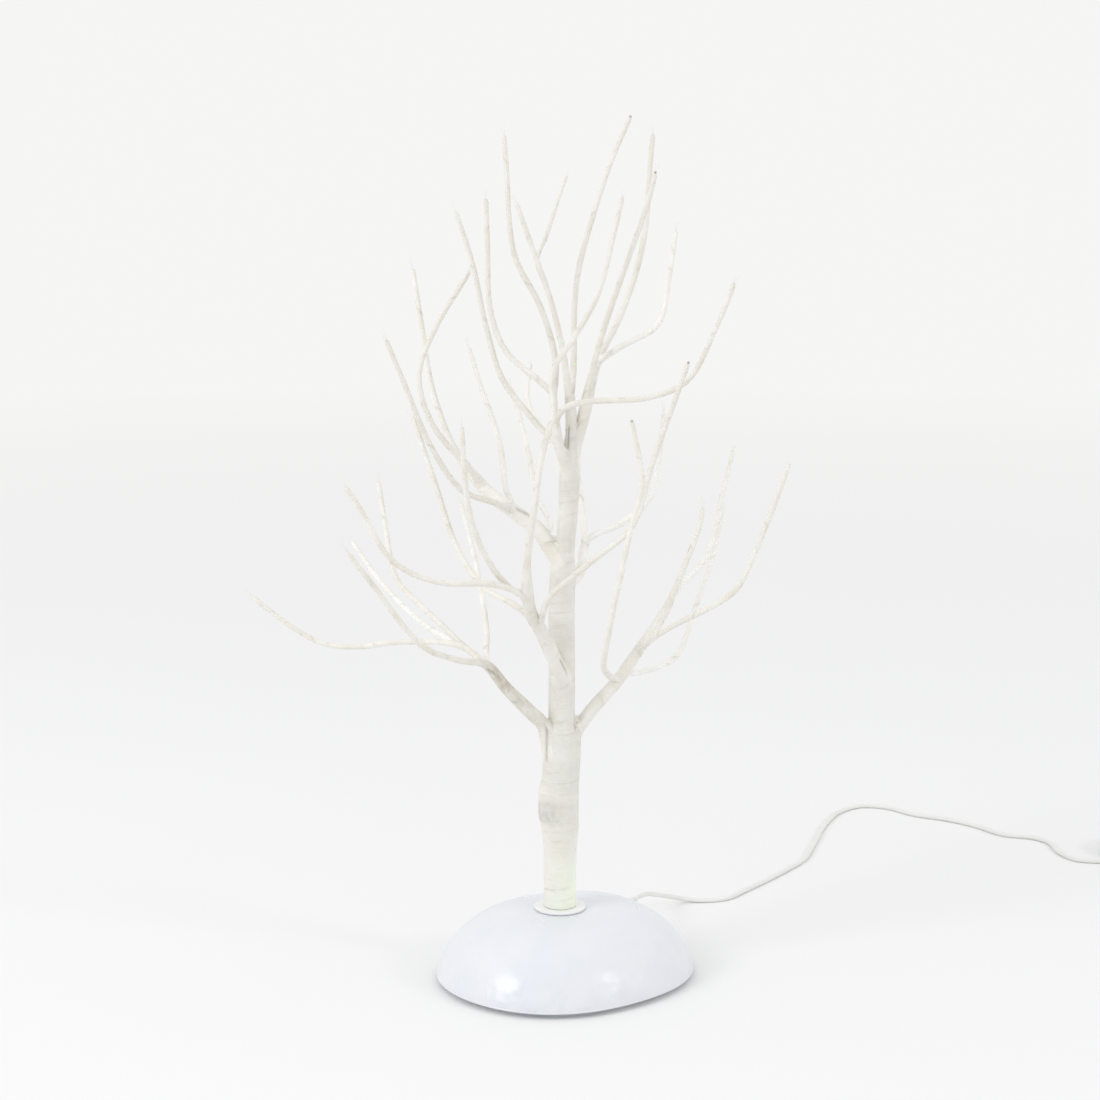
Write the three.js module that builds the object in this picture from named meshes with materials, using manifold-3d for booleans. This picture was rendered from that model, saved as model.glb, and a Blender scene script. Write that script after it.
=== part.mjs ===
// A tabletop fibre optic tree: a snow-mound base that holds the light, a tape-wound trunk that plugs
// into it, bare twigs that end in fibres, and a low-voltage lead with its plug-in adapter.
// Millimetres, +Z up. The origin is on the table under the trunk, and the front faces -Y.

import * as THREE from "three";
import { mergeVertices } from "three/addons/utils/BufferGeometryUtils.js";
import Module from "manifold-3d";

const wasm = await Module();
wasm.setup();

// Driving dimensions

const gap = 0.3; // between pieces that touch
const degrees = Math.PI / 180;

const mound = {
  centre: [3.5, -3.2],
  radius: 81.4,
  oval: 0.058, // the footprint's departure from a circle, two and four times round
  ovalTurn: 35 * degrees,
  square: 0.015,
  squareTurn: 86 * degrees,
  lip: 3.5, // the rim's height over the table
  band: 1.5, // the upright edge over the rim
  height: 45.6,
  flatness: 4.35, // exponents of the profile
  roundness: 1.25,
  swell: 0.7, // low lumps moulded in the surface
  wall: 2,
};

const collar = { radius: 17, thickness: 1.5, edge: 0.4, tubeWall: 1.8, sunk: 0.4 };
const seatHeight = mound.height - collar.sunk; // the flat that the collar lies on

const plate = { footInset: 6, foot: 3.8, tongue: 1.7, pad: 0.8, overlap: 0.2 };
const boss = { ring: 62, radius: 4.5, pilot: 1.8, pilotDepth: 11 };
const screw = { radius: 1.5, headRadius: 3.2, headHeight: 1.8, headEdge: 0.5, length: 11, point: 1.5 };

const ferrule = { outer: 9, wall: 1.6, below: 3, chamfer: 0.6, clear: 3.3 };
const trunkRadius = {
  foot: 10.4, low: 10.8, patch: 12.2, fork: 12.6, middle: 8.6, upper: 6.2, crotch: 6.8, neck: 5.4, top: 3.3,
};
const lowRadius = { left: 4.6, right: 4.4, front: 4.9 };
const highRadius = { left: 5.3, back: 4, topLeft: 3.3, topRight: 4.2 };
const twigRadius = { root: 2.1, tip: 1.5, thin: 1.1 };
const fibre = { radius: 0.45, bare: 9, splay: 1.3, count: 3, sunk: 2, ring: 0.45, stagger: 0.18 };

const wheel = { offset: 24, reach: 33, rim: 2, web: 1.2, spoke: 2.4, windows: 4, clear: 2.8 };
const hub = { radius: 4, height: 5, drop: 1 };
const filter = { thickness: 0.4, overlap: 1.2, margin: 0.35 };
const shaft = { radius: 1.5, length: 11 };
const motor = { radius: 11, height: 9, ear: 4, earThickness: 1.2, earRadius: 1.6 };
const bracket = { thickness: 1.5, foot: 7, width: 12 };
const sink = { side: 24, height: 6, base: 2, fins: 6, finShare: 0.5 };
const lamp = { board: 9, boardThickness: 1.4, lens: 4.5, lensRim: 0.6, lensHeight: 2.6 };
const board = { length: 36, width: 22, thickness: 1.6, stand: 3, place: [34, -18], foot: 2, footInset: 3 };
const capacitor = { radius: 3.2, height: 8, x: -9 };
const driver = { length: 8, width: 5, height: 3, x: 3, y: -4 };
const socketBlock = { length: 7, width: 6, height: 5, x: 9, y: 6 };

const cord = { radius: 1.7, exitAngle: 60 * degrees, exitHeight: 24 };
const gland = { neck: 3.2, flange: 4.6, flangeThickness: 1.4 };
const tail = { length: 16, root: 3.4, end: 2.4, ribs: 3, groove: 0.6, grooveShare: 0.4, plain: 2 };
const glandPad = { radius: 5.8, proud: 4.8, inner: 9.6 };
const coil = {
  inner: 14.6, outer: 23.4, layers: 4, turnsPerLayer: 2.25, rise: 3.9, stepsPerTurn: 24, climb: 0.25,
};
const adapter = { length: 48, width: 34, corner: 4, gland: 12, glandRadius: 4, lead: 16, bladeShare: 0.6 };
const blade = { length: 16, width: 6.3, thickness: 1.5, spacing: 12.7, taper: 2, nose: 1.6 };

// Materials

function finish(colour, roughness, metalness = 0, more = {}) {
  return () => new THREE.MeshStandardMaterial({ color: colour, roughness, metalness, ...more });
}

const finishes = {
  snow: finish(0xe6eaf5, 0.3),
  white: finish(0xf2f1ec, 0.4),
  plate: finish(0xd9dbe0, 0.6),
  tape: finish(0xece7da, 0.65),
  metal: finish(0xb9bcc0, 0.35, 1),
  brass: finish(0xc9a553, 0.35, 1),
  circuit: finish(0x2f6b45, 0.5),
  lens: finish(0xfaf6e0, 0.2),
  lead: finish(0xf0efea, 0.45),
  red: finish(0xc8323a, 0.3, 0, { transparent: true, opacity: 0.7 }),
  green: finish(0x2fa65a, 0.3, 0, { transparent: true, opacity: 0.7 }),
  blue: finish(0x2f62c8, 0.3, 0, { transparent: true, opacity: 0.7 }),
};

const tree = new THREE.Group();

function place(name, shape, look, parent = tree) {
  const geometry = shape.isBufferGeometry ? shape : geometryOf(shape);
  geometry.computeVertexNormals();
  const mesh = new THREE.Mesh(geometry, finishes[look]());
  mesh.name = name;
  parent.add(mesh);
  return mesh;
}

// Solids: a closed geometry to a solid that can be cut and joined, and back

function solidOf(geometry, matrix) {
  const bare = new THREE.BufferGeometry();
  bare.setAttribute("position", geometry.getAttribute("position").clone());
  if (geometry.index) bare.setIndex(geometry.index.clone());
  if (matrix) bare.applyMatrix4(matrix);
  const merged = mergeVertices(bare, 1e-4);
  return new wasm.Manifold(
    new wasm.Mesh({
      numProp: 3,
      vertProperties: new Float32Array(merged.attributes.position.array),
      triVerts: new Uint32Array(merged.index.array),
    }),
  );
}

function geometryOf(solid) {
  const mesh = solid.getMesh();
  const geometry = new THREE.BufferGeometry();
  geometry.setAttribute("position", new THREE.BufferAttribute(mesh.vertProperties, 3));
  geometry.setIndex(new THREE.BufferAttribute(mesh.triVerts, 1));
  return geometry;
}

function largest(solid) {
  return solid.decompose().reduce((best, piece) => (piece.volume() > best.volume() ? piece : best));
}

const join = (...solids) => solids.reduce((whole, next) => whole.add(next));
const cut = (solid, ...tools) => tools.reduce((rest, tool) => rest.subtract(tool), solid);

function at(x, y, z) {
  return new THREE.Matrix4().makeTranslation(x, y, z);
}

// A turned piece about the Z axis, from its half profile of [radius, height] points
function turned(profile, segments = 32, matrix = undefined) {
  const points = profile.map(([r, z]) => new THREE.Vector2(r, z));
  const lathe = new THREE.LatheGeometry([...points, points[0]], segments);
  lathe.rotateX(Math.PI / 2);
  lathe.deleteAttribute("normal");
  lathe.deleteAttribute("uv");
  const solid = solidOf(lathe, matrix);
  if (solid.volume() < 0) throw new Error("a turned profile runs the wrong way round");
  return solid;
}

function rod(radius, bottom, top, segments = 24, matrix = undefined) {
  return turned([[0, bottom], [radius, bottom], [radius, top], [0, top]], segments, matrix);
}

function block(sizeX, sizeY, bottom, top, matrix = new THREE.Matrix4()) {
  const box = new THREE.BoxGeometry(sizeX, sizeY, top - bottom);
  box.translate(0, 0, (bottom + top) / 2);
  return solidOf(box, matrix);
}

// An upright slab from an outline in the XY plane
function slab(shape, bottom, top, matrix = new THREE.Matrix4()) {
  const depth = top - bottom;
  const made = new THREE.ExtrudeGeometry(shape, { depth, bevelEnabled: false, curveSegments: 6 });
  made.translate(0, 0, bottom);
  return solidOf(made, matrix);
}

const moundSides = 40;

// The mound: its footprint, its height at a share of the way out, and the reach of its wall at a height

function footprint(angle) {
  const oval = mound.oval * Math.cos(2 * (angle - mound.ovalTurn));
  const square = mound.square * Math.cos(4 * (angle - mound.squareTurn));
  return mound.radius * (1 + oval + square);
}

function moundHeight(share, angle) {
  const foot = mound.lip + mound.band;
  const fall = Math.pow(Math.max(0, 1 - Math.pow(share, mound.flatness)), 1 / mound.roundness);
  const lumps = Math.sin(Math.PI * share * share) * (Math.cos(5 * angle + 1) + Math.cos(3 * angle - 2)) / 2;
  return foot + (mound.height - foot) * fall + mound.swell * lumps;
}

function wallReach(angle, height) {
  const foot = mound.lip + mound.band;
  const fall = Math.pow((height - foot) / (mound.height - foot), mound.roundness);
  return footprint(angle) * Math.pow(1 - fall, 1 / mound.flatness);
}

function moundSolid(inset, bottom, rows) {
  const around = moundSides;
  const [cx, cy] = mound.centre;
  const vertices = [cx, cy, moundHeight(0, 0) - inset];
  const ring = (share, height) => {
    for (let i = 0; i < around; i++) {
      const angle = (2 * Math.PI * i) / around;
      const radius = (footprint(angle) - inset) * share;
      vertices.push(cx + radius * Math.cos(angle), cy + radius * Math.sin(angle), height(angle));
    }
  };
  for (let row = 1; row <= rows; row++) {
    const share = Math.sin((Math.PI / 2) * (row / rows));
    ring(share, (angle) => moundHeight(share, angle) - inset * Math.sqrt(1 - (row / rows) ** 4));
  }
  ring(1, () => bottom);
  vertices.push(cx, cy, bottom);
  return solidOf(ringed(vertices, around, rows + 1));
}

// A closed skin from a first pole, rings of equal count, and a last pole, in that order
function ringed(vertices, around, rings) {
  const faces = [];
  const last = 1 + around * rings;
  for (let i = 0; i < around; i++) {
    const next = (i + 1) % around;
    faces.push(0, 1 + i, 1 + next);
    for (let ring = 0; ring < rings - 1; ring++) {
      const [a, b] = [1 + ring * around + i, 1 + ring * around + next];
      faces.push(a, a + around, b + around, a, b + around, b);
    }
    const foot = 1 + (rings - 1) * around;
    faces.push(last, foot + next, foot + i);
  }
  const geometry = new THREE.BufferGeometry();
  geometry.setAttribute("position", new THREE.BufferAttribute(new Float32Array(vertices), 3));
  geometry.setIndex(faces);
  return geometry;
}

// A slab with the mound's outline, set in from it
function footprintSlab(inset, bottom, top) {
  const [cx, cy] = mound.centre;
  const outline = [];
  for (let i = 0; i < moundSides; i++) {
    const angle = (2 * Math.PI * i) / moundSides;
    const radius = footprint(angle) - inset;
    outline.push(new THREE.Vector2(cx + radius * Math.cos(angle), cy + radius * Math.sin(angle)));
  }
  return slab(new THREE.Shape(outline), bottom, top);
}

// Heights that several pieces share

const plateTop = plate.foot + plate.tongue;
const deck = plateTop + gap; // where the inner pieces stand
const collarTop = seatHeight + gap + collar.thickness;
const trunkFoot = collarTop + gap;
const lampFloor = deck + sink.height + gap;
const lampTop = lampFloor + lamp.boardThickness + lamp.lensRim + lamp.lensHeight;
const wheelHeight = lampTop + wheel.clear; // the underside of the colour wheel's rim
const wheelTop = wheelHeight + wheel.web;
const ferruleBottom = wheelTop + gap + filter.thickness + ferrule.clear;
const fibreBundle = ferrule.outer - ferrule.wall - gap;
const socket = ferrule.outer + gap;
const collarTube = socket + collar.tubeWall;
const [moundX, moundY] = mound.centre;
const bossPlaces = [0, 1, 2, 3].map((i) => {
  const angle = (45 + 90 * i) * degrees;
  return { x: moundX + boss.ring * Math.cos(angle), y: moundY + boss.ring * Math.sin(angle), angle };
});

// The lead's way out of the shell

const exitWay = new THREE.Vector3(Math.cos(cord.exitAngle), Math.sin(cord.exitAngle), 0);
const exitReach = wallReach(cord.exitAngle, cord.exitHeight);

function alongExit(reach) {
  return new THREE.Vector3(moundX, moundY, cord.exitHeight).addScaledVector(exitWay, reach);
}

// Turns a piece made along Z so that it points out of the exit, with its zero at the given reach
function exitMatrix(reach) {
  const turn = new THREE.Quaternion().setFromUnitVectors(new THREE.Vector3(0, 0, 1), exitWay);
  return new THREE.Matrix4().compose(alongExit(reach), turn, new THREE.Vector3(1, 1, 1));
}

const padOuter = exitReach + glandPad.proud;
const padInner = exitReach - glandPad.inner;

// Base

function baseShell() {
  const skin = cut(moundSolid(0, mound.lip, 8), moundSolid(mound.wall, mound.lip - 1, 5));
  const bosses = bossPlaces.map(({ x, y, angle }) => {
    const roof = moundHeight((boss.ring + boss.radius) / footprint(angle), angle) - mound.wall;
    return rod(boss.radius, deck, roof, 12, at(x, y, 0));
  });
  const pilotTop = deck + boss.pilotDepth;
  const pilots = bossPlaces.map(({ x, y }) => rod(boss.pilot, deck - 1, pilotTop, 8, at(x, y, 0)));
  const glandHole = rod(gland.neck + gap, -1, padOuter - padInner + 1, 20, exitMatrix(padInner));
  return cut(
    join(skin, ...bosses, rod(glandPad.radius, 0, padOuter - padInner, 20, exitMatrix(padInner))),
    ...pilots,
    glandHole,
    rod(collarTube + gap, seatHeight - 8, seatHeight + 8, 32),
    rod(collar.radius + 1, seatHeight, seatHeight + 8, 32),
  );
}

function basePlate() {
  const body = join(
    footprintSlab(plate.footInset, 0, plate.foot),
    footprintSlab(mound.wall + gap, plate.foot - plate.overlap, plateTop),
  );
  const holes = bossPlaces.flatMap(({ x, y }) => [
    rod(screw.radius + gap, -1, plateTop + 1, 8, at(x, y, 0)),
    rod(screw.headRadius + gap, -1, screw.headHeight + plate.pad, 12, at(x, y, 0)),
  ]);
  return cut(body, ...holes);
}

function plateScrew(x, y) {
  const seat = screw.headHeight + plate.pad - gap;
  const head = seat - screw.headHeight;
  return turned(
    [[0, head], [screw.headRadius - screw.headEdge, head], [screw.headRadius, head + screw.headEdge],
      [screw.headRadius, seat], [screw.radius, seat], [screw.radius, seat + screw.length - screw.point],
      [0, seat + screw.length]],
    12,
    at(x, y, 0),
  );
}

function stemCollar() {
  const under = seatHeight + gap;
  const bottom = ferruleBottom + ferrule.below;
  return turned(
    [[socket, bottom], [collarTube, bottom], [collarTube, under], [collar.radius - collar.edge, under],
      [collar.radius, under + collar.edge], [collar.radius, collarTop - collar.edge],
      [collar.radius - collar.edge, collarTop], [socket, collarTop]],
    28,
  );
}

// Light

function heatSink() {
  const pitch = sink.side / sink.fins;
  const fins = [];
  const top = deck + sink.height;
  for (let i = 0; i < sink.fins; i++) {
    const x = -sink.side / 2 + pitch * (i + 0.5);
    fins.push(block(pitch * sink.finShare, sink.side, deck, top - sink.base / 2, at(x, 0, 0)));
  }
  return join(block(sink.side, sink.side, top - sink.base, top), ...fins);
}

function lampBody() {
  const shoulder = lampFloor + lamp.boardThickness;
  const dome = [];
  for (let i = 0; i <= 4; i++) {
    const turn = (i / 4) * (Math.PI / 2);
    dome.push([lamp.lens * Math.cos(turn), shoulder + lamp.lensRim + lamp.lensHeight * Math.sin(turn)]);
  }
  dome[4][0] = 0;
  const disc = [[0, lampFloor], [lamp.board, lampFloor], [lamp.board, shoulder], [lamp.lens, shoulder]];
  return turned([...disc, ...dome], 16);
}

// Colour wheel: a rim, a hub and spokes, with a filter on all but one window

const wheelAxis = at(-wheel.offset, 0, 0);
const motorFloor = deck + bracket.thickness + gap;
const motorTop = motorFloor + motor.height;
const shaftBore = shaft.radius + gap;

function wheelFrame() {
  const inner = wheel.reach - wheel.rim;
  const rim = turned(
    [[inner, wheelHeight], [wheel.reach, wheelHeight], [wheel.reach, wheelTop], [inner, wheelTop]],
    32,
    wheelAxis,
  );
  const hubFoot = wheelHeight - hub.drop;
  const hubTop = hubFoot + hub.height;
  const sleeve = turned(
    [[shaftBore, hubFoot], [hub.radius, hubFoot], [hub.radius, hubTop], [shaftBore, hubTop]],
    16,
    wheelAxis,
  );
  const spokes = [];
  for (let i = 0; i < wheel.windows; i++) {
    const turn = new THREE.Matrix4().makeRotationZ((i * 2 * Math.PI) / wheel.windows);
    const length = inner + 0.5 - (hub.radius - 0.5);
    const middle = at((inner + 0.5 + hub.radius - 0.5) / 2, 0, 0);
    const spot = wheelAxis.clone().multiply(turn).multiply(middle);
    spokes.push(block(length, wheel.spoke, wheelHeight, wheelTop, spot));
  }
  return join(rim, sleeve, ...spokes);
}

function wheelFilter(index) {
  const window = (2 * Math.PI) / wheel.windows;
  const margin = filter.margin / hub.radius;
  const inner = hub.radius + gap;
  const outer = wheel.reach - wheel.rim + filter.overlap;
  const outline = new THREE.Shape();
  const from = index * window + margin / 4;
  const to = (index + 1) * window - margin / 4;
  outline.absarc(0, 0, outer, from, to, false);
  outline.absarc(0, 0, inner, to - margin, from + margin, true);
  const bottom = wheelTop + gap;
  return slab(outline, bottom, bottom + filter.thickness, wheelAxis);
}

function wheelShaft() {
  const top = wheelHeight + hub.height;
  return rod(shaft.radius, top - shaft.length, top, 16, wheelAxis);
}

function wheelMotor() {
  const can = rod(motor.radius, motorFloor, motorTop, 28, wheelAxis);
  const ears = [-1, 1].map((side) => {
    const reach = motor.radius + motor.ear / 2;
    const spot = wheelAxis.clone().multiply(at(0, side * reach, 0));
    const tab = block(2 * motor.ear, motor.ear + 2, motorTop - motor.earThickness, motorTop, spot);
    return cut(tab, rod(motor.earRadius, motorTop - 5, motorTop + 1, 12, spot));
  });
  const boreFoot = wheelHeight + hub.height - shaft.length - gap;
  const bore = rod(shaftBore, boreFoot, motorTop + 1, 16, wheelAxis);
  return cut(join(can, ...ears), bore);
}

// A saddle under the motor with two posts that carry its ears
function motorBracket() {
  const reach = motor.radius + motor.ear;
  const floor = block(bracket.width, 2 * reach + 2 * bracket.foot, deck, deck + bracket.thickness, wheelAxis);
  const posts = [-1, 1].map((side) => {
    const spot = wheelAxis.clone().multiply(at(0, side * (motor.radius + motor.ear / 2 + gap), 0));
    const post = block(2 * motor.ear, motor.ear, deck + 0.5, motorTop - motor.earThickness - gap, spot);
    const hole = rod(motor.earRadius - 0.4, motorTop - 8, motorTop, 12, spot);
    return cut(post, hole);
  });
  return cut(join(floor, ...posts), rod(motor.radius + gap, motorFloor - gap / 2, motorTop, 28, wheelAxis));
}

function circuitBoard() {
  const [x, y] = board.place;
  const sunk = 0.4;
  const under = deck + board.stand;
  const top = under + board.thickness;
  const spot = at(x, y, 0);
  const corners = [[-1, -1], [1, -1], [1, 1], [-1, 1]].map(([sx, sy]) => {
    const [dx, dy] = [sx * (board.length / 2 - board.footInset), sy * (board.width / 2 - board.footInset)];
    return rod(board.foot, deck, under + sunk, 12, at(x + dx, y + dy, 0));
  });
  return join(
    block(board.length, board.width, under, top, spot),
    ...corners,
    rod(capacitor.radius, top - sunk, top + capacitor.height, 16, at(x + capacitor.x, y, 0)),
    ...[driver, socketBlock].map((part) => {
      return block(part.length, part.width, top - sunk, top + part.height, at(x + part.x, y + part.y, 0));
    }),
  );
}

// Bundles: a wound tube along a smooth way, with its girth given at shares of its length

function wayOf(points) {
  return new THREE.CatmullRomCurve3(points, false, "centripetal");
}

function girthAt(girth, share) {
  const next = girth.findIndex(([where]) => where >= share);
  if (next <= 0) return girth[0][1];
  const [[a, ra], [b, rb]] = [girth[next - 1], girth[next]];
  return ra + ((rb - ra) * (share - a)) / (b - a);
}

// Frames carried along the way without twisting, one at each share
function framesAlong(curve, shares) {
  let normal;
  return shares.map((share) => {
    const tangent = curve.getTangentAt(share);
    if (!normal) {
      const side = Math.abs(tangent.x) < 0.8 ? new THREE.Vector3(1, 0, 0) : new THREE.Vector3(0, 1, 0);
      normal = side.sub(tangent.clone().multiplyScalar(side.dot(tangent))).normalize();
    } else {
      normal = normal.clone().sub(tangent.clone().multiplyScalar(normal.dot(tangent))).normalize();
    }
    return { point: curve.getPointAt(share), tangent, normal, side: tangent.clone().cross(normal) };
  });
}

function tube(stations, sides) {
  const vertices = [];
  const first = stations[0];
  const last = stations[stations.length - 1];
  vertices.push(...last.point.toArray());
  for (const { point, normal, side, radius } of [...stations].reverse()) {
    for (let i = 0; i < sides; i++) {
      const turn = (2 * Math.PI * (i + 0.5)) / sides;
      const spot = point.clone();
      spot.addScaledVector(normal, radius * Math.cos(turn)).addScaledVector(side, radius * Math.sin(turn));
      vertices.push(...spot.toArray());
    }
  }
  vertices.push(...first.point.toArray());
  return ringed(vertices, sides, stations.length);
}

// The wound part of a bundle, grown by a clearance all round and at its two ends
function windingSolid(bundle, grow = 0) {
  const stations = framesAlong(bundle.curve, bundle.shares);
  stations.forEach((station, i) => {
    station.radius = girthAt(bundle.girth, bundle.shares[i]) + grow;
  });
  const first = stations[0];
  const last = stations[stations.length - 1];
  first.point.addScaledVector(first.tangent, -grow);
  last.point.addScaledVector(last.tangent, grow);
  return solidOf(tube(stations, bundle.sides));
}

// The bare fibres that stand out of the end of the tape
function fibreTuft(bundle) {
  const end = bundle.shares[bundle.shares.length - 1];
  const { point, tangent, normal, side } = framesAlong(bundle.curve, [end])[0];
  const spread = girthAt(bundle.girth, end) * fibre.ring;
  const strands = [];
  for (let i = 0; i < fibre.count; i++) {
    const turn = (2 * Math.PI * i) / fibre.count + bundle.turn;
    const out = normal.clone().multiplyScalar(Math.cos(turn)).addScaledVector(side, Math.sin(turn));
    const length = bundle.bare * (1 - fibre.stagger * i);
    const root = point.clone().addScaledVector(tangent, -fibre.sunk).addScaledVector(out, spread);
    const tip = point.clone().addScaledVector(tangent, length).addScaledVector(out, spread + fibre.splay);
    const stations = framesAlong(new THREE.LineCurve3(root, tip), [0, 1]);
    stations.forEach((station) => {
      station.radius = fibre.radius;
    });
    strands.push(solidOf(tube(stations, 3)));
  }
  return strands;
}

const bundles = new Map();

// A bundle leaves another one at a share of its length, and its way is given in steps from there
function bundle(name, from, share, girth, way, { sides = 6, spacing = 16, bare = fibre.bare } = {}) {
  const parent = bundles.get(from);
  const root = parent ? parent.curve.getPointAt(share) : new THREE.Vector3(0, 0, trunkFoot);
  const points = way.map(([x, y, z]) => root.clone().add(new THREE.Vector3(x, y, z)));
  const curve = wayOf(parent ? [root, ...points] : points);
  const length = curve.getLength();
  const end = bare ? 1 - bare / length : 1;
  const steps = Math.max(6, Math.round((length * end) / spacing));
  const shares = Array.from({ length: steps + 1 }, (_, i) => (end * i) / steps);
  const made = { name, curve, girth, shares, sides, bare, turn: bundles.size };
  bundles.set(name, made);
  return made;
}

const twig = [[0, twigRadius.root], [1, twigRadius.tip]];

function limb(radius, held, thinning, parted) {
  return [[0, radius], [held, radius * 0.96], [thinning, radius * 0.75], [parted, twigRadius.root],
    [1, twigRadius.tip]];
}

// The trunk, and the seven limbs and leaders that part from it; each limb runs on into a twig

const trunk = bundle(
  "trunk", null, 0,
  [[0, trunkRadius.foot], [0.12, trunkRadius.low], [0.16, trunkRadius.patch], [0.27, trunkRadius.patch],
    [0.34, trunkRadius.fork], [0.355, trunkRadius.fork - 0.3], [0.375, trunkRadius.middle],
    [0.66, trunkRadius.middle - 0.2], [0.7, trunkRadius.upper], [0.8, trunkRadius.upper],
    [0.84, trunkRadius.crotch], [0.88, trunkRadius.neck], [0.93, trunkRadius.top + 0.6],
    [1, trunkRadius.top]],
  [[0, 0, 0], [0, 0, 31], [0, 0, 72], [1, 0, 106], [1, 0, 146], [1, 0, 179], [1, 0, 209], [3, 0, 237],
    [5, 0, 264], [6, 0, 293], [7, 0, 316], [6, 0, 336]],
  { sides: 14, spacing: 10, bare: 0 },
);

bundle("limb_low_left", "trunk", 0.27, limb(lowRadius.left, 0.2, 0.36, 0.42),
  [[-9, -3, 20], [-11, -6, 32], [-21, -11, 44], [-36, -16, 61], [-47, -22, 76], [-65, -48, 86],
    [-86, -70, 100], [-114, -88, 141], [-133, -98, 170]]);
bundle("limb_low_right", "trunk", 0.32, limb(lowRadius.right, 0.2, 0.56, 0.66),
  [[10, 3, 11], [21, 6, 25], [36, 11, 41], [46, 17, 54], [67, 24, 84], [79, 22, 113], [91, 21, 150],
    [89, 20, 162]]);
bundle("limb_front", "trunk", 0.43, limb(lowRadius.front, 0.12, 0.26, 0.32),
  [[0, -10, 13], [-6, -17, 28], [-13, -25, 45], [-20, -35, 61], [-22, -49, 90], [-18, -59, 125],
    [-13, -59, 161], [-6, -45, 188], [-6, -35, 212], [8, -29, 234], [22, -27, 259], [31, -24, 293],
    [38, -21, 323]]);
bundle("limb_mid_left", "trunk", 0.68, limb(highRadius.left, 0.14, 0.34, 0.46),
  [[-7, 1, 8], [-16, 3, 21], [-29, 6, 31], [-50, 13, 46], [-71, 25, 72], [-85, 35, 108], [-92, 43, 148],
    [-99, 50, 194]]);
bundle("limb_back", "trunk", 0.63, limb(highRadius.back, 0.1, 0.22, 0.3),
  [[12, 17, 9], [17, 35, 26], [40, 49, 35], [59, 57, 51], [65, 63, 79], [68, 67, 115]]);
bundle("leader_left", "trunk", 0.85, limb(highRadius.topLeft, 0.14, 0.18, 0.24),
  [[-6, -6, 18], [-10, -6, 47], [-9, 7, 74], [-18, 13, 106], [-35, 18, 140], [-40, 22, 196],
    [-42, 24, 223]]);
bundle("leader_right", "trunk", 0.85, limb(highRadius.topRight, 0.2, 0.28, 0.36),
  [[3, 3, 16], [9, 3, 38], [17, 4, 71], [32, 10, 101], [46, 15, 144], [51, 20, 196], [53, 21, 224]]);

// Twigs of the low left limb
bundle("twig_low_left_inner", "limb_low_left", 0.37, twig,
  [[-16, 10, 11], [-33, 20, 25], [-49, 30, 38], [-61, 38, 50], [-69, 50, 87], [-74, 57, 119]]);
bundle("twig_low_left_outer", "limb_low_left", 0.38, twig,
  [[-12, 5, 9], [-23, 10, 12], [-58, 23, 10], [-84, 27, 6], [-106, 31, 7], [-128, 34, 18], [-160, 37, 43]]);
bundle("twig_low_left_back", "limb_low_left", 0.37, twig,
  [[-14, 30, 4], [-46, 72, 13], [-76, 103, 35], [-98, 122, 62]]);
bundle("twig_low_left_upright", "limb_low_left", 0.33, twig,
  [[-8, 28, 7], [-8, 44, 20], [-16, 70, 62], [-28, 85, 107]]);

// Twigs of the low right limb
bundle("twig_low_right_inner", "limb_low_right", 0.3, twig,
  [[-7, -26, 8], [-11, -45, 19], [-10, -57, 33], [-3, -76, 76], [5, -85, 117], [11, -87, 142],
    [4, -90, 184]]);
bundle("twig_low_right_middle", "limb_low_right", 0.56, twig,
  [[11, 15, 15], [31, 36, 33], [41, 49, 69], [50, 57, 105]]);
bundle("twig_low_right_outer", "limb_low_right", 0.42, twig,
  [[8, -12, 10], [19, -22, 20], [51, -39, 41], [61, -43, 51], [77, -51, 91], [91, -57, 133]]);
bundle("twig_low_right_back", "limb_low_right", 0.32, twig,
  [[14, 23, -4], [27, 37, -3], [38, 49, 1], [52, 65, 33], [66, 75, 75], [71, 79, 102]]);

// Twigs of the front limb
bundle("twig_front_left_back", "limb_front", 0.18, twig,
  [[-12, 8, 8], [-34, 28, 17], [-51, 47, 39], [-66, 64, 80], [-83, 82, 127]]);
bundle("twig_front_left_low", "limb_front", 0.23, twig,
  [[-10, -9, 9], [-24, -16, 14], [-55, -30, 18], [-82, -41, 33], [-102, -49, 69], [-112, -54, 85]]);
bundle("twig_front_left_high", "limb_front", 0.24, twig,
  [[-11, -3, 6], [-26, -13, 28], [-36, -23, 61], [-40, -31, 120]]);
bundle("twig_front_right", "limb_front", 0.12, twig,
  [[-4, -10, 15], [-2, -20, 28], [2, -26, 37], [27, -27, 59], [53, -23, 81], [64, -20, 116],
    [81, -21, 166], [87, -23, 184]]);

// Twigs of the middle left limb
bundle("twig_mid_left_front", "limb_mid_left", 0.21, twig,
  [[-10, -15, 7], [-31, -30, 18], [-49, -40, 46], [-65, -49, 87], [-79, -54, 123]]);
bundle("twig_mid_left_inner", "limb_mid_left", 0.31, twig,
  [[-11, -8, 16], [-32, -14, 43], [-40, -17, 75], [-29, -10, 105], [-8, 6, 140], [-7, 9, 146]]);
bundle("twig_mid_left_back", "limb_mid_left", 0.2, twig,
  [[-3, 17, 5], [-6, 27, 11], [-10, 40, 39], [-23, 51, 76], [-33, 58, 108]]);
bundle("twig_mid_left_rear", "limb_mid_left", 0.09, twig,
  [[4, 23, 6], [-4, 37, 19], [-12, 51, 55], [-24, 62, 98]]);

// Twig of the back limb
bundle("twig_back_upright", "limb_back", 0.25, twig, [[0, 4, 13], [-4, 13, 46], [-1, 22, 95]]);

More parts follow.
